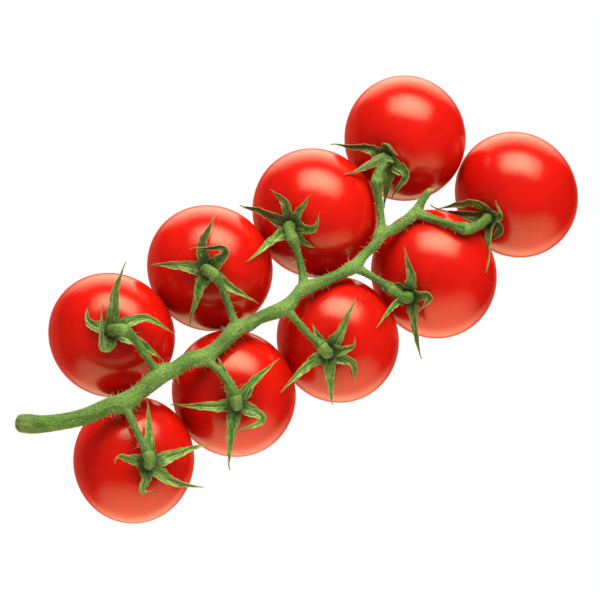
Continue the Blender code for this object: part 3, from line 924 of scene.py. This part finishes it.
def tomato_mesh(number, fruit):
    """A fine fruit with faint lobes round its dimple, a flower scar, and its flat spot."""
    draw = random.Random(FRUIT_SEED + number)
    angles = np.linspace(0, math.pi, FRUIT_RINGS + 1)
    turns = np.linspace(0, math.tau, FRUIT_SIDES, endpoint=False)
    across, height = skin_profile(fruit, angles)
    shoulder = np.exp(-((np.degrees(angles) / LOBE_REACH) ** 2)) * np.sin(angles)
    phase = draw.uniform(0, math.tau)
    lobe = 1 + LOBE_DEPTH * shoulder[:, None] * np.cos(LOBES * turns + phase)[None]
    swell = 1.0
    for waves in (2, 3):
        tilt = draw.uniform(0, math.tau)
        swell = swell + SWELL / waves * (
            np.sin(angles)[:, None] ** 2 * np.cos(waves * turns + tilt)[None]
        )
    size = lobe * swell
    points = np.stack(
        [
            across[:, None] * np.cos(turns)[None] * size,
            across[:, None] * np.sin(turns)[None] * size,
            np.repeat(height[:, None], FRUIT_SIDES, axis=1) * (1 + (size - 1) * LOBE_HEIGHT),
        ],
        axis=2,
    )
    scar_gap = np.degrees(math.pi - angles)
    scar = np.exp(-((scar_gap / SCAR_REACH) ** 2))
    points[:, :, 2] += (scar * SCAR_HEIGHT)[:, None]
    pale = SHOULDER_PALENESS * np.exp(-((np.degrees(angles) / SHOULDER_REACH) ** 2))
    tint = np.stack([scar, pale, scar * 0], axis=1)
    placed = to_table(fruit, points.reshape(-1, 3) @ fruit_stretch(fruit).T)
    placed[:, 2] = np.maximum(placed[:, 2], 0.0)
    build = Build()
    build.add(
        placed,
        grid_faces(FRUIT_RINGS + 1, FRUIT_SIDES, flip=True),
        grain=points + number * FRUIT_GRAIN_GAP,
        tint=np.repeat(tint[:, None], FRUIT_SIDES, axis=1),
    )
    return build.mesh(f"ripe_tomato_{number}")


# Stem and stalks


def knuckle_swell(distance):
    """How much a near stalk swells at a distance from its knuckle."""
    return (KNUCKLE_RADIUS - NEAR_STALK_RADIUS) * np.exp(-((distance / KNUCKLE_REACH) ** 2))


def near_stalk(number):
    """Points and radii of the part of a stalk between the main stem and its knuckle."""
    route = stalk_route(number)
    end = lengths_along(route)[-1] - STALKS[number].beyond_knuckle - KNUCKLE_PLAY
    places = np.linspace(0.0, end, max(LEAST_POINTS, round(end / STEM_STEP)))
    radii = (
        NEAR_STALK_RADIUS
        + NEAR_STALK_FLARE * np.exp(-((places / NEAR_STALK_FLARE_REACH) ** 2))
        + knuckle_swell(end - places)
    )
    return at_lengths(route, places), radii


def far_stalk(number):
    """Points and radii of the part of a stalk between its knuckle and its calyx's seat."""
    route = stalk_route(number)
    whole = lengths_along(route)[-1]
    start = whole - STALKS[number].beyond_knuckle + KNUCKLE_PLAY
    # Twice as close as on the near stalk, because the bulb and the groove are short
    count = 2 * max(LEAST_POINTS, round((whole - start) / STEM_STEP))
    places = np.linspace(start, whole - SEAT_ROOM, count)
    gap = whole - places
    swell = KNUCKLE_RADIUS - FAR_STALK_RADIUS
    swell = swell * np.exp(-(((places - start) / FAR_KNUCKLE_REACH) ** 2))
    bulb = BULB_RADIUS - FAR_STALK_RADIUS
    bulb = bulb * np.exp(-(((gap - BULB_PLACE) / BULB_REACH) ** 2))
    groove = GROOVE_RADIUS - FAR_STALK_RADIUS
    groove = groove * np.exp(-(((gap - GROOVE_PLACE) / GROOVE_REACH) ** 2))
    radii = FAR_STALK_RADIUS + np.maximum(swell, bulb) + groove
    seat = seat_height(FRUITS[number])
    ends = to_table(FRUITS[number], np.array([[0, 0, seat + RECEPTACLE_HEIGHT], [0, 0, seat]]))
    radii = np.r_[radii, RECEPTACLE_RADIUS * RECEPTACLE_TAPER, RECEPTACLE_RADIUS]
    return np.vstack([at_lengths(route, places), ends]), radii


def stem_runs():
    """The main stem and near stalks as lists of points and radii."""
    main_route = smooth_route(MAIN_STEM, STEM_STEP)
    runs = [(main_route[:, :3], main_route[:, 3])]
    runs += [near_stalk(number) for number in STALKS]
    return runs


def tip_runs():
    """The two dried points into which the withered tip splits."""
    start = np.array(MAIN_STEM[-2][:3])
    runs = []
    for end in TIP_POINTS:
        points = smooth_route([start, (start + end) / 2, end], FINE_STEP)
        runs.append((points, np.linspace(*TIP_POINT_RADII, len(points))))
    return runs


def stem_tint(points):
    """Paleness near the forks, and dryness at the cut end and the withered tip."""
    forks = np.array([STALKS[number].points[0] for number in STALKS])
    gaps = np.linalg.norm(points[:, None] - forks[None], axis=2).min(axis=1)
    pale = FORK_PALENESS * np.exp(-((gaps / FORK_REACH) ** 2))
    cut = np.linalg.norm(points - np.array(MAIN_STEM[0][:3]), axis=1)
    tip = np.linalg.norm(points - np.array(MAIN_STEM[-1][:3]), axis=1)
    dry = CUT_DRYNESS * np.exp(-((cut / CUT_REACH) ** 2))
    dry = dry + TIP_DRYNESS * np.exp(-((tip / TIP_REACH) ** 2))
    return np.stack([pale, np.clip(dry, 0, 1), np.zeros(len(points))], axis=1)


def stem_mesh():
    """Main stem and near stalks, grown together, with the grain read off their middle lines."""
    build = Build()
    runs = stem_runs()
    for points, radii in runs + tip_runs():
        start_depth = CUT_END_DEPTH if points is runs[0][0] else END_DEPTH
        add_tube(build, points, radii, (start_depth, END_DEPTH))
    settings = (
        ("REMESH", {"mode": "VOXEL", "voxel_size": STEM_VOXEL * MM, "use_smooth_shade": True}),
        ("SMOOTH", {"factor": SMOOTHING_FACTOR, "iterations": STEM_SMOOTHING}),
    )
    mesh = with_modifiers(build.mesh("stem_runs"), "stem_runs", settings)
    points = np.empty(len(mesh.vertices) * 3)
    mesh.vertices.foreach_get("co", points)
    points = points.reshape(-1, 3) / MM
    grain = np.zeros((len(points), 3))
    best = np.full(len(points), np.inf)
    start = 0.0
    for route, radii in runs:
        _, across, up = carried_frames(route)
        lengths = lengths_along(route)
        for first in range(0, len(points), CHUNK):
            chunk = points[first : first + CHUNK]
            gaps = np.linalg.norm(chunk[:, None] - route[None], axis=2) - radii[None]
            near = gaps.argmin(axis=1)
            gap = gaps[np.arange(len(chunk)), near]
            offset = chunk - route[near]
            found = np.stack(
                [
                    lengths[near] + start,
                    (offset * across[near]).sum(axis=1),
                    (offset * up[near]).sum(axis=1),
                ],
                axis=1,
            )
            better = gap < best[first : first + CHUNK]
            grain[first : first + CHUNK][better] = found[better]
            best[first : first + CHUNK][better] = gap[better]
        start += lengths[-1] + GRAIN_GAP
    normals = np.empty(len(mesh.vertices) * 3)
    mesh.vertex_normals.foreach_get("vector", normals)
    rough = points + normals.reshape(-1, 3) * skin_height(grain)[:, None]
    mesh.vertices.foreach_set("co", (rough * MM).ravel())
    for name, values in (("grain", grain), ("tint", stem_tint(points))):
        if name in mesh.attributes:
            mesh.attributes.remove(mesh.attributes[name])
        layer = mesh.attributes.new(name, "FLOAT_VECTOR", "POINT")
        layer.data.foreach_set("vector", values.ravel())
    mesh.shade_smooth()
    return mesh


# Calyxes


def sepal_spine(fruit, sepal, steps, curl=0.0):
    """Points from the root of a sepal to its tip, clear of every fruit.

    The bearing starts from downhill on the fruit, anticlockwise seen from outside. The sepal
    rises and later falls by its angles to the calyx's own plane, and turns sideways by its turn
    around the given share of its length. Its tip turns aside by the curl.
    """
    share = (np.arange(steps) + 0.5) / steps
    span = FOLD_SPAN if abs(sepal.turn) >= FOLD_TURN else BEND_SPAN
    turned = sepal.turn * smooth_step((share - sepal.bend) / span + 0.5)
    turned = turned + curl * smooth_step((share - CURL_START) / (1 - CURL_START))
    heading = np.radians(sepal.bearing + turned)
    climb = np.radians(sepal.rise + (sepal.fall - sepal.rise) * share)
    way = np.stack(
        [np.cos(climb) * np.cos(heading), np.cos(climb) * np.sin(heading), np.sin(climb)], axis=1
    )
    root = math.radians(sepal.bearing)
    start = np.array(
        [
            SEPAL_ROOT * math.cos(root),
            SEPAL_ROOT * math.sin(root),
            seat_height(fruit) + SEPAL_SEAT,
        ]
    )
    own = start + np.vstack([np.zeros(3), np.cumsum(way * sepal.length / steps, axis=0)])
    return clear_of_fruits(fruit, to_table(fruit, own))


def sepal_half_width(share):
    """Half width of a leaf at a share of its length."""
    body = SEPAL_WIDTH * np.maximum(1 - share, 0) ** SEPAL_TAPER
    neck = SEPAL_NECK + (1 - SEPAL_NECK) * smooth_step(share / SEPAL_NECK_SPAN)
    return np.maximum(SEPAL_TIP_WIDTH, body * neck) / 2


def ripple(share, draw, waves):
    """A smooth random line along a blade, between about -1 and 1."""
    line = np.zeros_like(share)
    for wave in waves:
        line = line + np.sin(math.tau * (wave * share + draw.random())) / len(waves)
    return line


def add_sepal(build, fruit, sepal, draw):
    """A thin folded leaf with wavy raised edges, which narrows to a curled tip."""
    rows, columns = SEPAL_ROWS, SEPAL_COLUMNS
    curl = draw.choice((-1, 1)) * draw.uniform(*TIP_CURLS)
    spine = rounded(sepal_spine(fruit, sepal, rows - 1, curl), SEPAL_ROUNDING)
    share = np.linspace(0, 1, rows)
    _, across, up = carried_frames(spine, fruit_axes(fruit)[:, 2])
    over = -up
    side = np.linspace(-1, 1, columns + 1)
    reach = sepal_half_width(share)[:, None] * np.ones_like(side)
    left = 1 + RIM_RIPPLE * ripple(share, draw, RIM_WAVES[0])
    right = 1 + RIM_RIPPLE * ripple(share, draw, RIM_WAVES[1])
    reach = reach * np.where(side < 0, left[:, None], right[:, None])
    fold = math.radians(draw.uniform(*FOLD_ANGLES))
    fold = fold * (FOLD_AT_ROOT + smooth_step(share / FOLD_OPENING))
    fold = fold + math.radians(TIP_FOLD) * smooth_step((share - TIP_FOLD_START) / TIP_FOLD_SPAN)
    edge = np.where(
        side < 0,
        ripple(share, draw, EDGE_WAVES[0])[:, None],
        ripple(share, draw, EDGE_WAVES[1])[:, None],
    )
    lean = math.radians(SIDE_LEAN) * ripple(share, draw, LEAN_WAVES)
    lean = lean * smooth_step(share / LEAN_SPAN)
    wide = reach * side * np.cos(fold)[:, None]
    high = reach * np.abs(side) ** FOLD_ROUNDNESS * np.sin(fold)[:, None]
    high = high + EDGE_WAVE * edge * side**2 * np.minimum(1, reach)
    aslant, level = np.sin(lean)[:, None], np.cos(lean)[:, None]
    blade = spine[:, None] + across[:, None] * (wide * level - high * aslant)[..., None]
    blade = blade + over[:, None] * (wide * aslant + high * level)[..., None]
    cleared = clear_of_fruits(fruit, blade.reshape(-1, 3), BLADE_CLEARANCE)
    blade = cleared.reshape(rows, columns + 1, 3)
    normal = unit(np.cross(np.gradient(blade, axis=1), np.gradient(blade, axis=0)))
    if (normal * over[:, None]).sum() < 0:
        normal = -normal
    # The midrib is a groove on top, and the blade thins towards its edges and its tip
    groove = MIDRIB_DEPTH * np.exp(-((side / MIDRIB_REACH) ** 2)) * (1 - share[:, None])
    half = SEPAL_THICKNESS / 2 * (1 - share * SEPAL_TIP_THINNING)[:, None]
    half = half * (1 - np.abs(side)[None] ** 3)
    half = half + SEPAL_EDGE_THICKNESS / 2
    top = blade + normal * (half - groove)[:, :, None]
    under = blade - normal * half[:, :, None]
    count = columns + 1
    seed = draw.uniform(0, SEPAL_GRAIN_REACH)
    flat = reach * side
    grain = np.stack(
        [np.repeat(share[:, None] * sepal.length, count, 1) + seed, flat + seed, flat * 0], axis=2
    )
    # Painted shade of the calyx's hollow, darkest at the leaf's root
    painted_hollow_shade = np.exp(-((share * sepal.length / HOLLOW_SHADE_REACH) ** 2))
    mark = np.stack(
        [
            np.repeat(side[None], rows, 0),
            np.repeat(share[:, None], count, 1),
            np.repeat(painted_hollow_shade[:, None], count, 1),
        ],
        axis=2,
    )
    # Age browns the leaf and also paints shade on it where it lies in shadow
    age = np.full((2 * rows * count, 3), sepal.age)
    points = np.concatenate([top.reshape(-1, 3), under.reshape(-1, 3)])
    half_count = rows * count
    faces = grid_faces(rows, count, closed=False, flip=True)
    faces += [tuple(half_count + corner for corner in face)[::-1] for face in faces]
    rim = [row * count for row in range(rows)]
    rim += [(rows - 1) * count + column for column in range(1, count)]
    rim += [row * count + columns for row in range(rows - 2, -1, -1)]
    rim += list(range(columns - 1, 0, -1))
    for here, there in zip(rim, rim[1:] + rim[:1]):
        faces.append((here, there, half_count + there, half_count + here))
    build.add(
        points,
        faces,
        LEAF_SLOT,
        grain=np.concatenate([grain.reshape(-1, 3)] * 2),
        blade=np.concatenate([mark.reshape(-1, 3)] * 2),
        tint=age,
    )


def calyx_mesh(number, fruit):
    """Far stalk, from its knuckle to its seat, and the calyx leaves round it."""
    build = Build()
    draw = random.Random(CALYX_SEED + number)
    points, radii = far_stalk(number)
    start = lengths_along(points)
    pale = KNUCKLE_PALENESS * np.exp(-((start / KNUCKLE_PALE_REACH) ** 2))
    # Painted shade of the calyx's hollow on the stalk, darkest near its seat
    gap = start[-1] - start
    beyond = np.maximum(0, gap - STALK_HOLLOW_SHADE_PLACE) / STALK_HOLLOW_SHADE_REACH
    painted_hollow_shade = STALK_HOLLOW_SHADE * np.exp(-(beyond**2))
    tint = np.stack([pale, pale * KNUCKLE_DRYNESS, painted_hollow_shade], axis=1)
    grain_start = CALYX_GRAIN_START + number * CALYX_GRAIN_GAP
    add_tube(build, points, radii, FAR_STALK_ENDS, tint, grain_start)
    for sepal in SEPALS[number]:
        add_sepal(build, fruit, sepal, draw)
    return build.mesh(f"leafy_calyx_{number}")


# Hairs


def add_hair(build, root, way, bend, length, draw):
    """One tapering hair."""
    side = unit(np.cross(way, bend))
    up = np.cross(side, way)
    rings = []
    for share, size in HAIR_RINGS:
        middle = root + way * length * share + bend * length * HAIR_BEND_SHARE * share**2
        for turn in range(HAIR_SIDES):
            angle = math.tau * turn / HAIR_SIDES
            spoke = side * math.cos(angle) + up * math.sin(angle)
            rings.append(middle + spoke * HAIR_RADIUS * size)
    rings.append(root + way * length + bend * length * HAIR_BEND_SHARE)
    faces = grid_faces(len(HAIR_RINGS), HAIR_SIDES)
    for turn in range(HAIR_SIDES):
        faces.append((HAIR_SIDES + turn, HAIR_SIDES + (turn + 1) % HAIR_SIDES, 2 * HAIR_SIDES))
    build.add(rings, faces, grain=np.full((len(rings), 3), draw.uniform(0, HAIR_GRAIN_REACH)))


def add_hairs(build, run, span, density, lengths, draw):
    """Hairs scattered over the given span of a run, so many on each millimetre."""
    points, radii = run
    along, across, up = carried_frames(points)
    # Just short of the last point, so that each place has a point after it
    last = len(points) - 1.001
    for _ in range(round(lengths_along(points)[-1] * (span[1] - span[0]) * density)):
        place = draw.uniform(*span) * last
        index = int(place)
        angle = draw.uniform(0, math.tau)
        spoke = across[index] * math.cos(angle) + up[index] * math.sin(angle)
        root = points[index] + (points[index + 1] - points[index]) * (place - index)
        root = root + spoke * radii[index] * HAIR_ROOT
        way = unit(spoke + np.array([draw.gauss(0, HAIR_SPREAD) for _ in range(3)]))
        bend = np.array([draw.gauss(0, HAIR_BEND) for _ in range(3)]) + HAIR_DROOP
        add_hair(build, root, way, bend, draw.uniform(*lengths), draw)


def hair_mesh(settings):
    """Down all over the stem and stalks, with long hairs on the stem and round its forks."""
    build = Build()
    draw = random.Random(HAIR_SEED)
    main, *stalks = stem_runs()
    add_hairs(build, main, (0, 1), settings.fuzz_per_mm, FUZZ_LENGTHS, draw)
    for start, end, share in LONG_HAIR_RUNS:
        density = settings.long_hairs_per_mm * share
        add_hairs(build, main, (start, end), density, LONG_LENGTHS, draw)
    # The thinner stalks bear half of the fuzz and a third of the long hairs
    fuzz, long = settings.fuzz_per_mm / 2, settings.long_hairs_per_mm / 3
    for number, stalk in zip(STALKS, stalks):
        add_hairs(build, stalk, NEAR_FUZZ_SPAN, fuzz, FUZZ_LENGTHS, draw)
        add_hairs(build, stalk, NEAR_LONG_SPAN, long, LONG_LENGTHS, draw)
        add_hairs(build, far_stalk(number), FAR_FUZZ_SPAN, fuzz, FUZZ_LENGTHS, draw)
    return build.mesh("stem_hairs")


# Settings


def colour_property(name, description, hex_colour):
    """A colour that the user can change."""
    return bpy.props.FloatVectorProperty(
        name=name, description=description, subtype="COLOR", default=linear(hex_colour)
    )


class TrussFruit(bpy.types.PropertyGroup):
    ripe: colour_property("Ripe red", "Main colour of the skin", "#BA1007")
    deep: colour_property("Deep red", "Colour of the riper patches", "#AE0D07")
    speck: colour_property("Specks", "Colour of the fine specks in the skin", "#E8451E")
    shoulder: colour_property("Shoulder", "Colour in the dimple round the stalk", "#C4300F")
    scar: colour_property("Flower scar", "Colour of the scar at the far end", "#8A6A3A")
    roughness: bpy.props.FloatProperty(
        name="Gloss blur", description="Roughness of the waxy skin", default=0.2, min=0, max=1,
        subtype="FACTOR",
    )
    flesh_glow: bpy.props.FloatProperty(
        name="Flesh glow", description="Share of light that passes through the flesh",
        default=0.2, min=0, max=1, subtype="FACTOR",
    )


class TrussGreens(bpy.types.PropertyGroup):
    stem_green: colour_property("Stem", "Main green of the stem", "#3D6E1E")
    stem_deep: colour_property("Stem furrows", "Green between the ribs", "#2C5018")
    stem_pale: colour_property("Forks", "Pale green of the swollen forks", "#74994C")
    stem_olive: colour_property("Stem blotches", "Olive blotches on the stem", "#5C7030")
    stem_shade: colour_property("Stem dots", "Dark dots on the stem", "#304C17")
    stem_light: colour_property("Stem lights", "Pale dots on the stem", "#93A856")
    # Painted shade: dark green in the hollow under each calyx, on the stalk and the leaf roots
    painted_hollow_shade: colour_property("Hollow", "Dark green in the hollow under each calyx", "#1E2A0E")
    dry: colour_property("Dry", "Colour of the cut end and dried tips", "#A08A50")
    leaf_green: colour_property("Leaf", "Main green of the calyx leaves", "#5C8C38")
    leaf_deep: colour_property("Leaf depth", "Dark green of the calyx leaves", "#24421A")
    leaf_light: colour_property("Leaf veins", "Light green of the veins", "#94B85E")
    # Painted shade in the crease along each leaf's fold
    leaf_fold_shade: colour_property("Leaf fold", "Green along the fold", "#2E4818")
    leaf_rim: colour_property("Leaf rim", "Pale green of the leaf edges", "#A0AC5A")
    leaf_tip: colour_property("Leaf tip", "Colour of the dry tips", "#6E5E2E")
    # Brown green of drying leaves, darker to paint shade on leaves that lie in shadow
    leaf_old_and_shaded: colour_property("Older leaf", "Brown green of the older leaves", "#3C3A16")
    hair_pale: colour_property("Down", "Pale colour of the hairs", "#E6E8D0")
    hair_green: colour_property("Green down", "Green colour of the hairs", "#B9C98A")
    fuzz_per_mm: bpy.props.FloatProperty(
        name="Fuzz a millimetre", description="Short hairs on each millimetre of stem",
        default=16.0, min=0,
    )
    long_hairs_per_mm: bpy.props.FloatProperty(
        name="Long hairs a millimetre", description="Long hairs on each millimetre of stem",
        default=4.0, min=0,
    )


class TrussStudio(bpy.types.PropertyGroup):
    ground: colour_property("Ground", "Colour of the ground", "#FFFFFF")
    lamp: colour_property("Lamp colour", "Colour of the studio's lamps", "#FFF5CF")
    key: bpy.props.FloatProperty(
        name="Key", description="Brightness of the large softbox", default=13.5, min=0,
    )
    reflector_cloth: colour_property("Reflector cloth", "Colour of the two reflectors", "#FFE8B4")
    key_mirror: bpy.props.FloatProperty(
        name="Low key", description="Brightness of the panel under the large softbox",
        default=4.0, min=0,
    )
    reflector: bpy.props.FloatProperty(
        name="Reflector", description="Brightness of the side reflector", default=3.1, min=0,
    )
    reflector_mirror: bpy.props.FloatProperty(
        name="Low reflector", description="Brightness of the panel under the reflector",
        default=2.8, min=0,
    )
    table_glow: colour_property("Table glow", "Light that the fruit throw on the table", "#F0765C")
    surround: bpy.props.FloatProperty(
        name="Surround", description="Brightness of the studio's walls", default=0.6, min=0,
    )


# Operators and sidebar


class TRUSS_OT_fruit(bpy.types.Operator):
    """Adds the ripe tomatoes"""

    bl_idname = "truss.fruit"
    bl_label = "Add fruit"

    def execute(self, context):
        skin = tomato_skin(context.scene.truss_fruit)
        for number, fruit in FRUITS.items():
            mesh = tomato_mesh(number, fruit)
            add_piece(
                f"ripe_tomato_{number}", mesh, [skin], [f"tomato_{number}"]
            )
        return {"FINISHED"}


class TRUSS_OT_stem(bpy.types.Operator):
    """Adds the main stem with the near part of each stalk"""

    bl_idname = "truss.stem"
    bl_label = "Add stem"

    def execute(self, context):
        material = stem_skin(context.scene.truss_greens)
        add_piece("downy_stem", stem_mesh(), [material], ["truss_stem"])
        return {"FINISHED"}


class TRUSS_OT_calyxes(bpy.types.Operator):
    """Adds each fruit's calyx and the far part of its stalk"""

    bl_idname = "truss.calyxes"
    bl_label = "Add calyxes"

    def execute(self, context):
        stalk = stem_skin(context.scene.truss_greens)
        leaf = leaf_skin(context.scene.truss_greens)
        for number, fruit in FRUITS.items():
            mesh = calyx_mesh(number, fruit)
            add_piece(
                f"leafy_calyx_{number}", mesh, [stalk, leaf], [f"calyx_{number}"]
            )
        return {"FINISHED"}


class TRUSS_OT_hairs(bpy.types.Operator):
    """Adds the fine hairs on the stem and stalks"""

    bl_idname = "truss.hairs"
    bl_label = "Add hairs"

    def execute(self, context):
        greens = context.scene.truss_greens
        add_piece("stem_hairs", hair_mesh(greens), [hair_skin(greens)], [])
        return {"FINISHED"}


def picture_axes():
    """The camera's forward, right and up directions."""
    lean = math.radians(CAMERA_LEAN)
    bearing = math.radians(CAMERA_BEARING)
    roll = math.radians(CAMERA_ROLL)
    away = Vector((math.cos(bearing), math.sin(bearing), 0))
    left = Vector((-math.sin(bearing), math.cos(bearing), 0))
    forward = away * math.sin(lean) - Vector((0, 0, math.cos(lean)))
    up = away * math.cos(lean) + Vector((0, 0, math.sin(lean)))
    right = up * math.cos(roll) - left * math.sin(roll)
    return forward, right, up * math.sin(roll) + left * math.cos(roll)


def only_for(obj, *rays):
    """Lets an object show to the named kinds of ray alone."""
    for ray in ("camera", "diffuse", "glossy", "transmission", "volume_scatter", "shadow"):
        setattr(obj, "visible_" + ray, ray in rays)


def add_panel(name, middle, across, along, colour, brightness, fade=SOFTBOX_FADE):
    """A glowing rectangle from its middle and its two half sides, in metres.

    It fades towards its edges, the more softly the higher its fade.
    """
    build = Build()
    side = np.linspace(-1, 1, SOFTBOX_CELLS + 1)
    u, v = np.meshgrid(side, side)
    points = np.array(middle) + u[..., None] * np.array(across) + v[..., None] * np.array(along)
    glow = ((1 - u**2) * (1 - v**2)) ** fade
    faces = grid_faces(SOFTBOX_CELLS + 1, SOFTBOX_CELLS + 1, closed=False)
    build.add(points / MM, faces, tint=np.stack([glow] * 3, axis=2))
    mesh = build.mesh(name)
    mesh.materials.append(softbox_cloth(name + "_cloth", colour, brightness))
    panel = bpy.data.objects.new(name, mesh)
    bpy.context.scene.collection.objects.link(panel)
    only_for(panel, "diffuse", "glossy", "transmission")
    return panel


def add_softbox(name, from_view, clock, spread, height, colour, brightness):
    """A far panel, placed by its angle from the view line and its clock angle.

    The clock angle is anticlockwise from picture-right. The spread is the angle that it fills
    round the clock, and the height the angle that it fills along the other way.
    """
    forward, right, up = picture_axes()
    angle, around = math.radians(from_view), math.radians(clock)
    outward = right * math.cos(around) + up * math.sin(around)
    way = -forward * math.cos(angle) + outward * math.sin(angle)
    across = up * math.cos(around) - right * math.sin(around)
    half_across = SOFTBOX_DISTANCE * math.tan(math.radians(spread / 2))
    half_along = SOFTBOX_DISTANCE * math.tan(math.radians(height / 2))
    middle = Vector(CAMERA_TARGET) * MM + way * SOFTBOX_DISTANCE
    along = way.cross(across)
    add_panel(name, middle, across * half_across, along * half_along, colour, brightness)


class TRUSS_OT_studio(bpy.types.Operator):
    """Adds the white ground, the soft lights and the camera"""

    bl_idname = "truss.studio"
    bl_label = "Add studio"

    def execute(self, context):
        scene = context.scene
        studio = scene.truss_studio
        mesh = bpy.data.meshes.new("studio_ground")
        half = GROUND_REACH
        floor = [(-half, -half, 0), (half, -half, 0), (half, half, 0), (-half, half, 0)]
        rim = [(x, y, half) for x, y, z in floor]
        walls = [(i, (i + 1) % 4, 4 + (i + 1) % 4, 4 + i) for i in range(4)]
        mesh.from_pydata(floor + rim, [], [(0, 1, 2, 3), *walls])
        ground = bpy.data.objects.new("studio_ground", mesh)
        mesh.materials.append(studio_white(studio))
        scene.collection.objects.link(ground)
        only_for(ground, "camera")
        lamp, cream = studio.lamp, studio.reflector_cloth
        lights = (
            ("key_softbox", lamp, studio.key),
            ("low_key_panel", lamp, studio.key_mirror),
            ("side_reflector", cream, studio.reflector),
            ("low_reflector", cream, studio.reflector_mirror),
        )
        for name, colour, brightness in lights:
            add_softbox(name, *SOFTBOXES[name], colour, brightness)
        middle = (0, 0, -TABLE_GLOW_DEPTH)
        across, along = (TABLE_GLOW_REACH, 0, 0), (0, TABLE_GLOW_REACH, 0)
        colour = studio.table_glow
        glow = add_panel("table_glow", middle, across, along, colour, 1.0, TABLE_GLOW_FADE)
        only_for(glow, "glossy")
        world = bpy.data.worlds.new("studio_walls")
        world.use_nodes = True
        background = world.node_tree.nodes["Background"]
        background.inputs["Color"].default_value = (1, 1, 1, 1)
        background.inputs["Strength"].default_value = studio.surround
        scene.world = world
        world.cycles_visibility.glossy = False
        scene.view_settings.view_transform = "Standard"
        forward, right, up = picture_axes()
        data = bpy.data.cameras.new("studio_camera")
        data.angle = 2 * math.atan(PICTURE_WIDTH / 2 / CAMERA_DISTANCE)
        camera = bpy.data.objects.new("studio_camera", data)
        place = (Vector(CAMERA_TARGET) - forward * CAMERA_DISTANCE) * MM
        turn = Matrix((right, up, -forward)).transposed().to_4x4()
        camera.matrix_world = Matrix.Translation(place) @ turn
        scene.collection.objects.link(camera)
        scene.camera = camera
        return {"FINISHED"}


OPERATORS = (
    TRUSS_OT_fruit,
    TRUSS_OT_stem,
    TRUSS_OT_calyxes,
    TRUSS_OT_hairs,
    TRUSS_OT_studio,
)


class TRUSS_PT_sidebar(bpy.types.Panel):
    """Lists the pieces of the tomato truss"""

    bl_idname = "TRUSS_PT_sidebar"
    bl_label = "Tomato truss"
    bl_space_type = "VIEW_3D"
    bl_region_type = "UI"
    bl_category = "Truss"

    def draw(self, context):
        for operator in OPERATORS:
            self.layout.operator(operator.bl_idname)


GROUPS = {"truss_fruit": TrussFruit, "truss_greens": TrussGreens, "truss_studio": TrussStudio}


def register():
    for made in (*GROUPS.values(), *OPERATORS, TRUSS_PT_sidebar):
        bpy.utils.register_class(made)
    for name, group in GROUPS.items():
        setattr(bpy.types.Scene, name, bpy.props.PointerProperty(type=group))


def unregister():
    for name in GROUPS:
        delattr(bpy.types.Scene, name)
    for made in (TRUSS_PT_sidebar, *OPERATORS, *GROUPS.values()):
        bpy.utils.unregister_class(made)


def main():
    register()
    bpy.ops.truss.fruit()
    bpy.ops.truss.stem()
    bpy.ops.truss.calyxes()
    bpy.ops.truss.hairs()
    bpy.ops.truss.studio()
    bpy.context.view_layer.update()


if __name__ == "__main__":
    main()
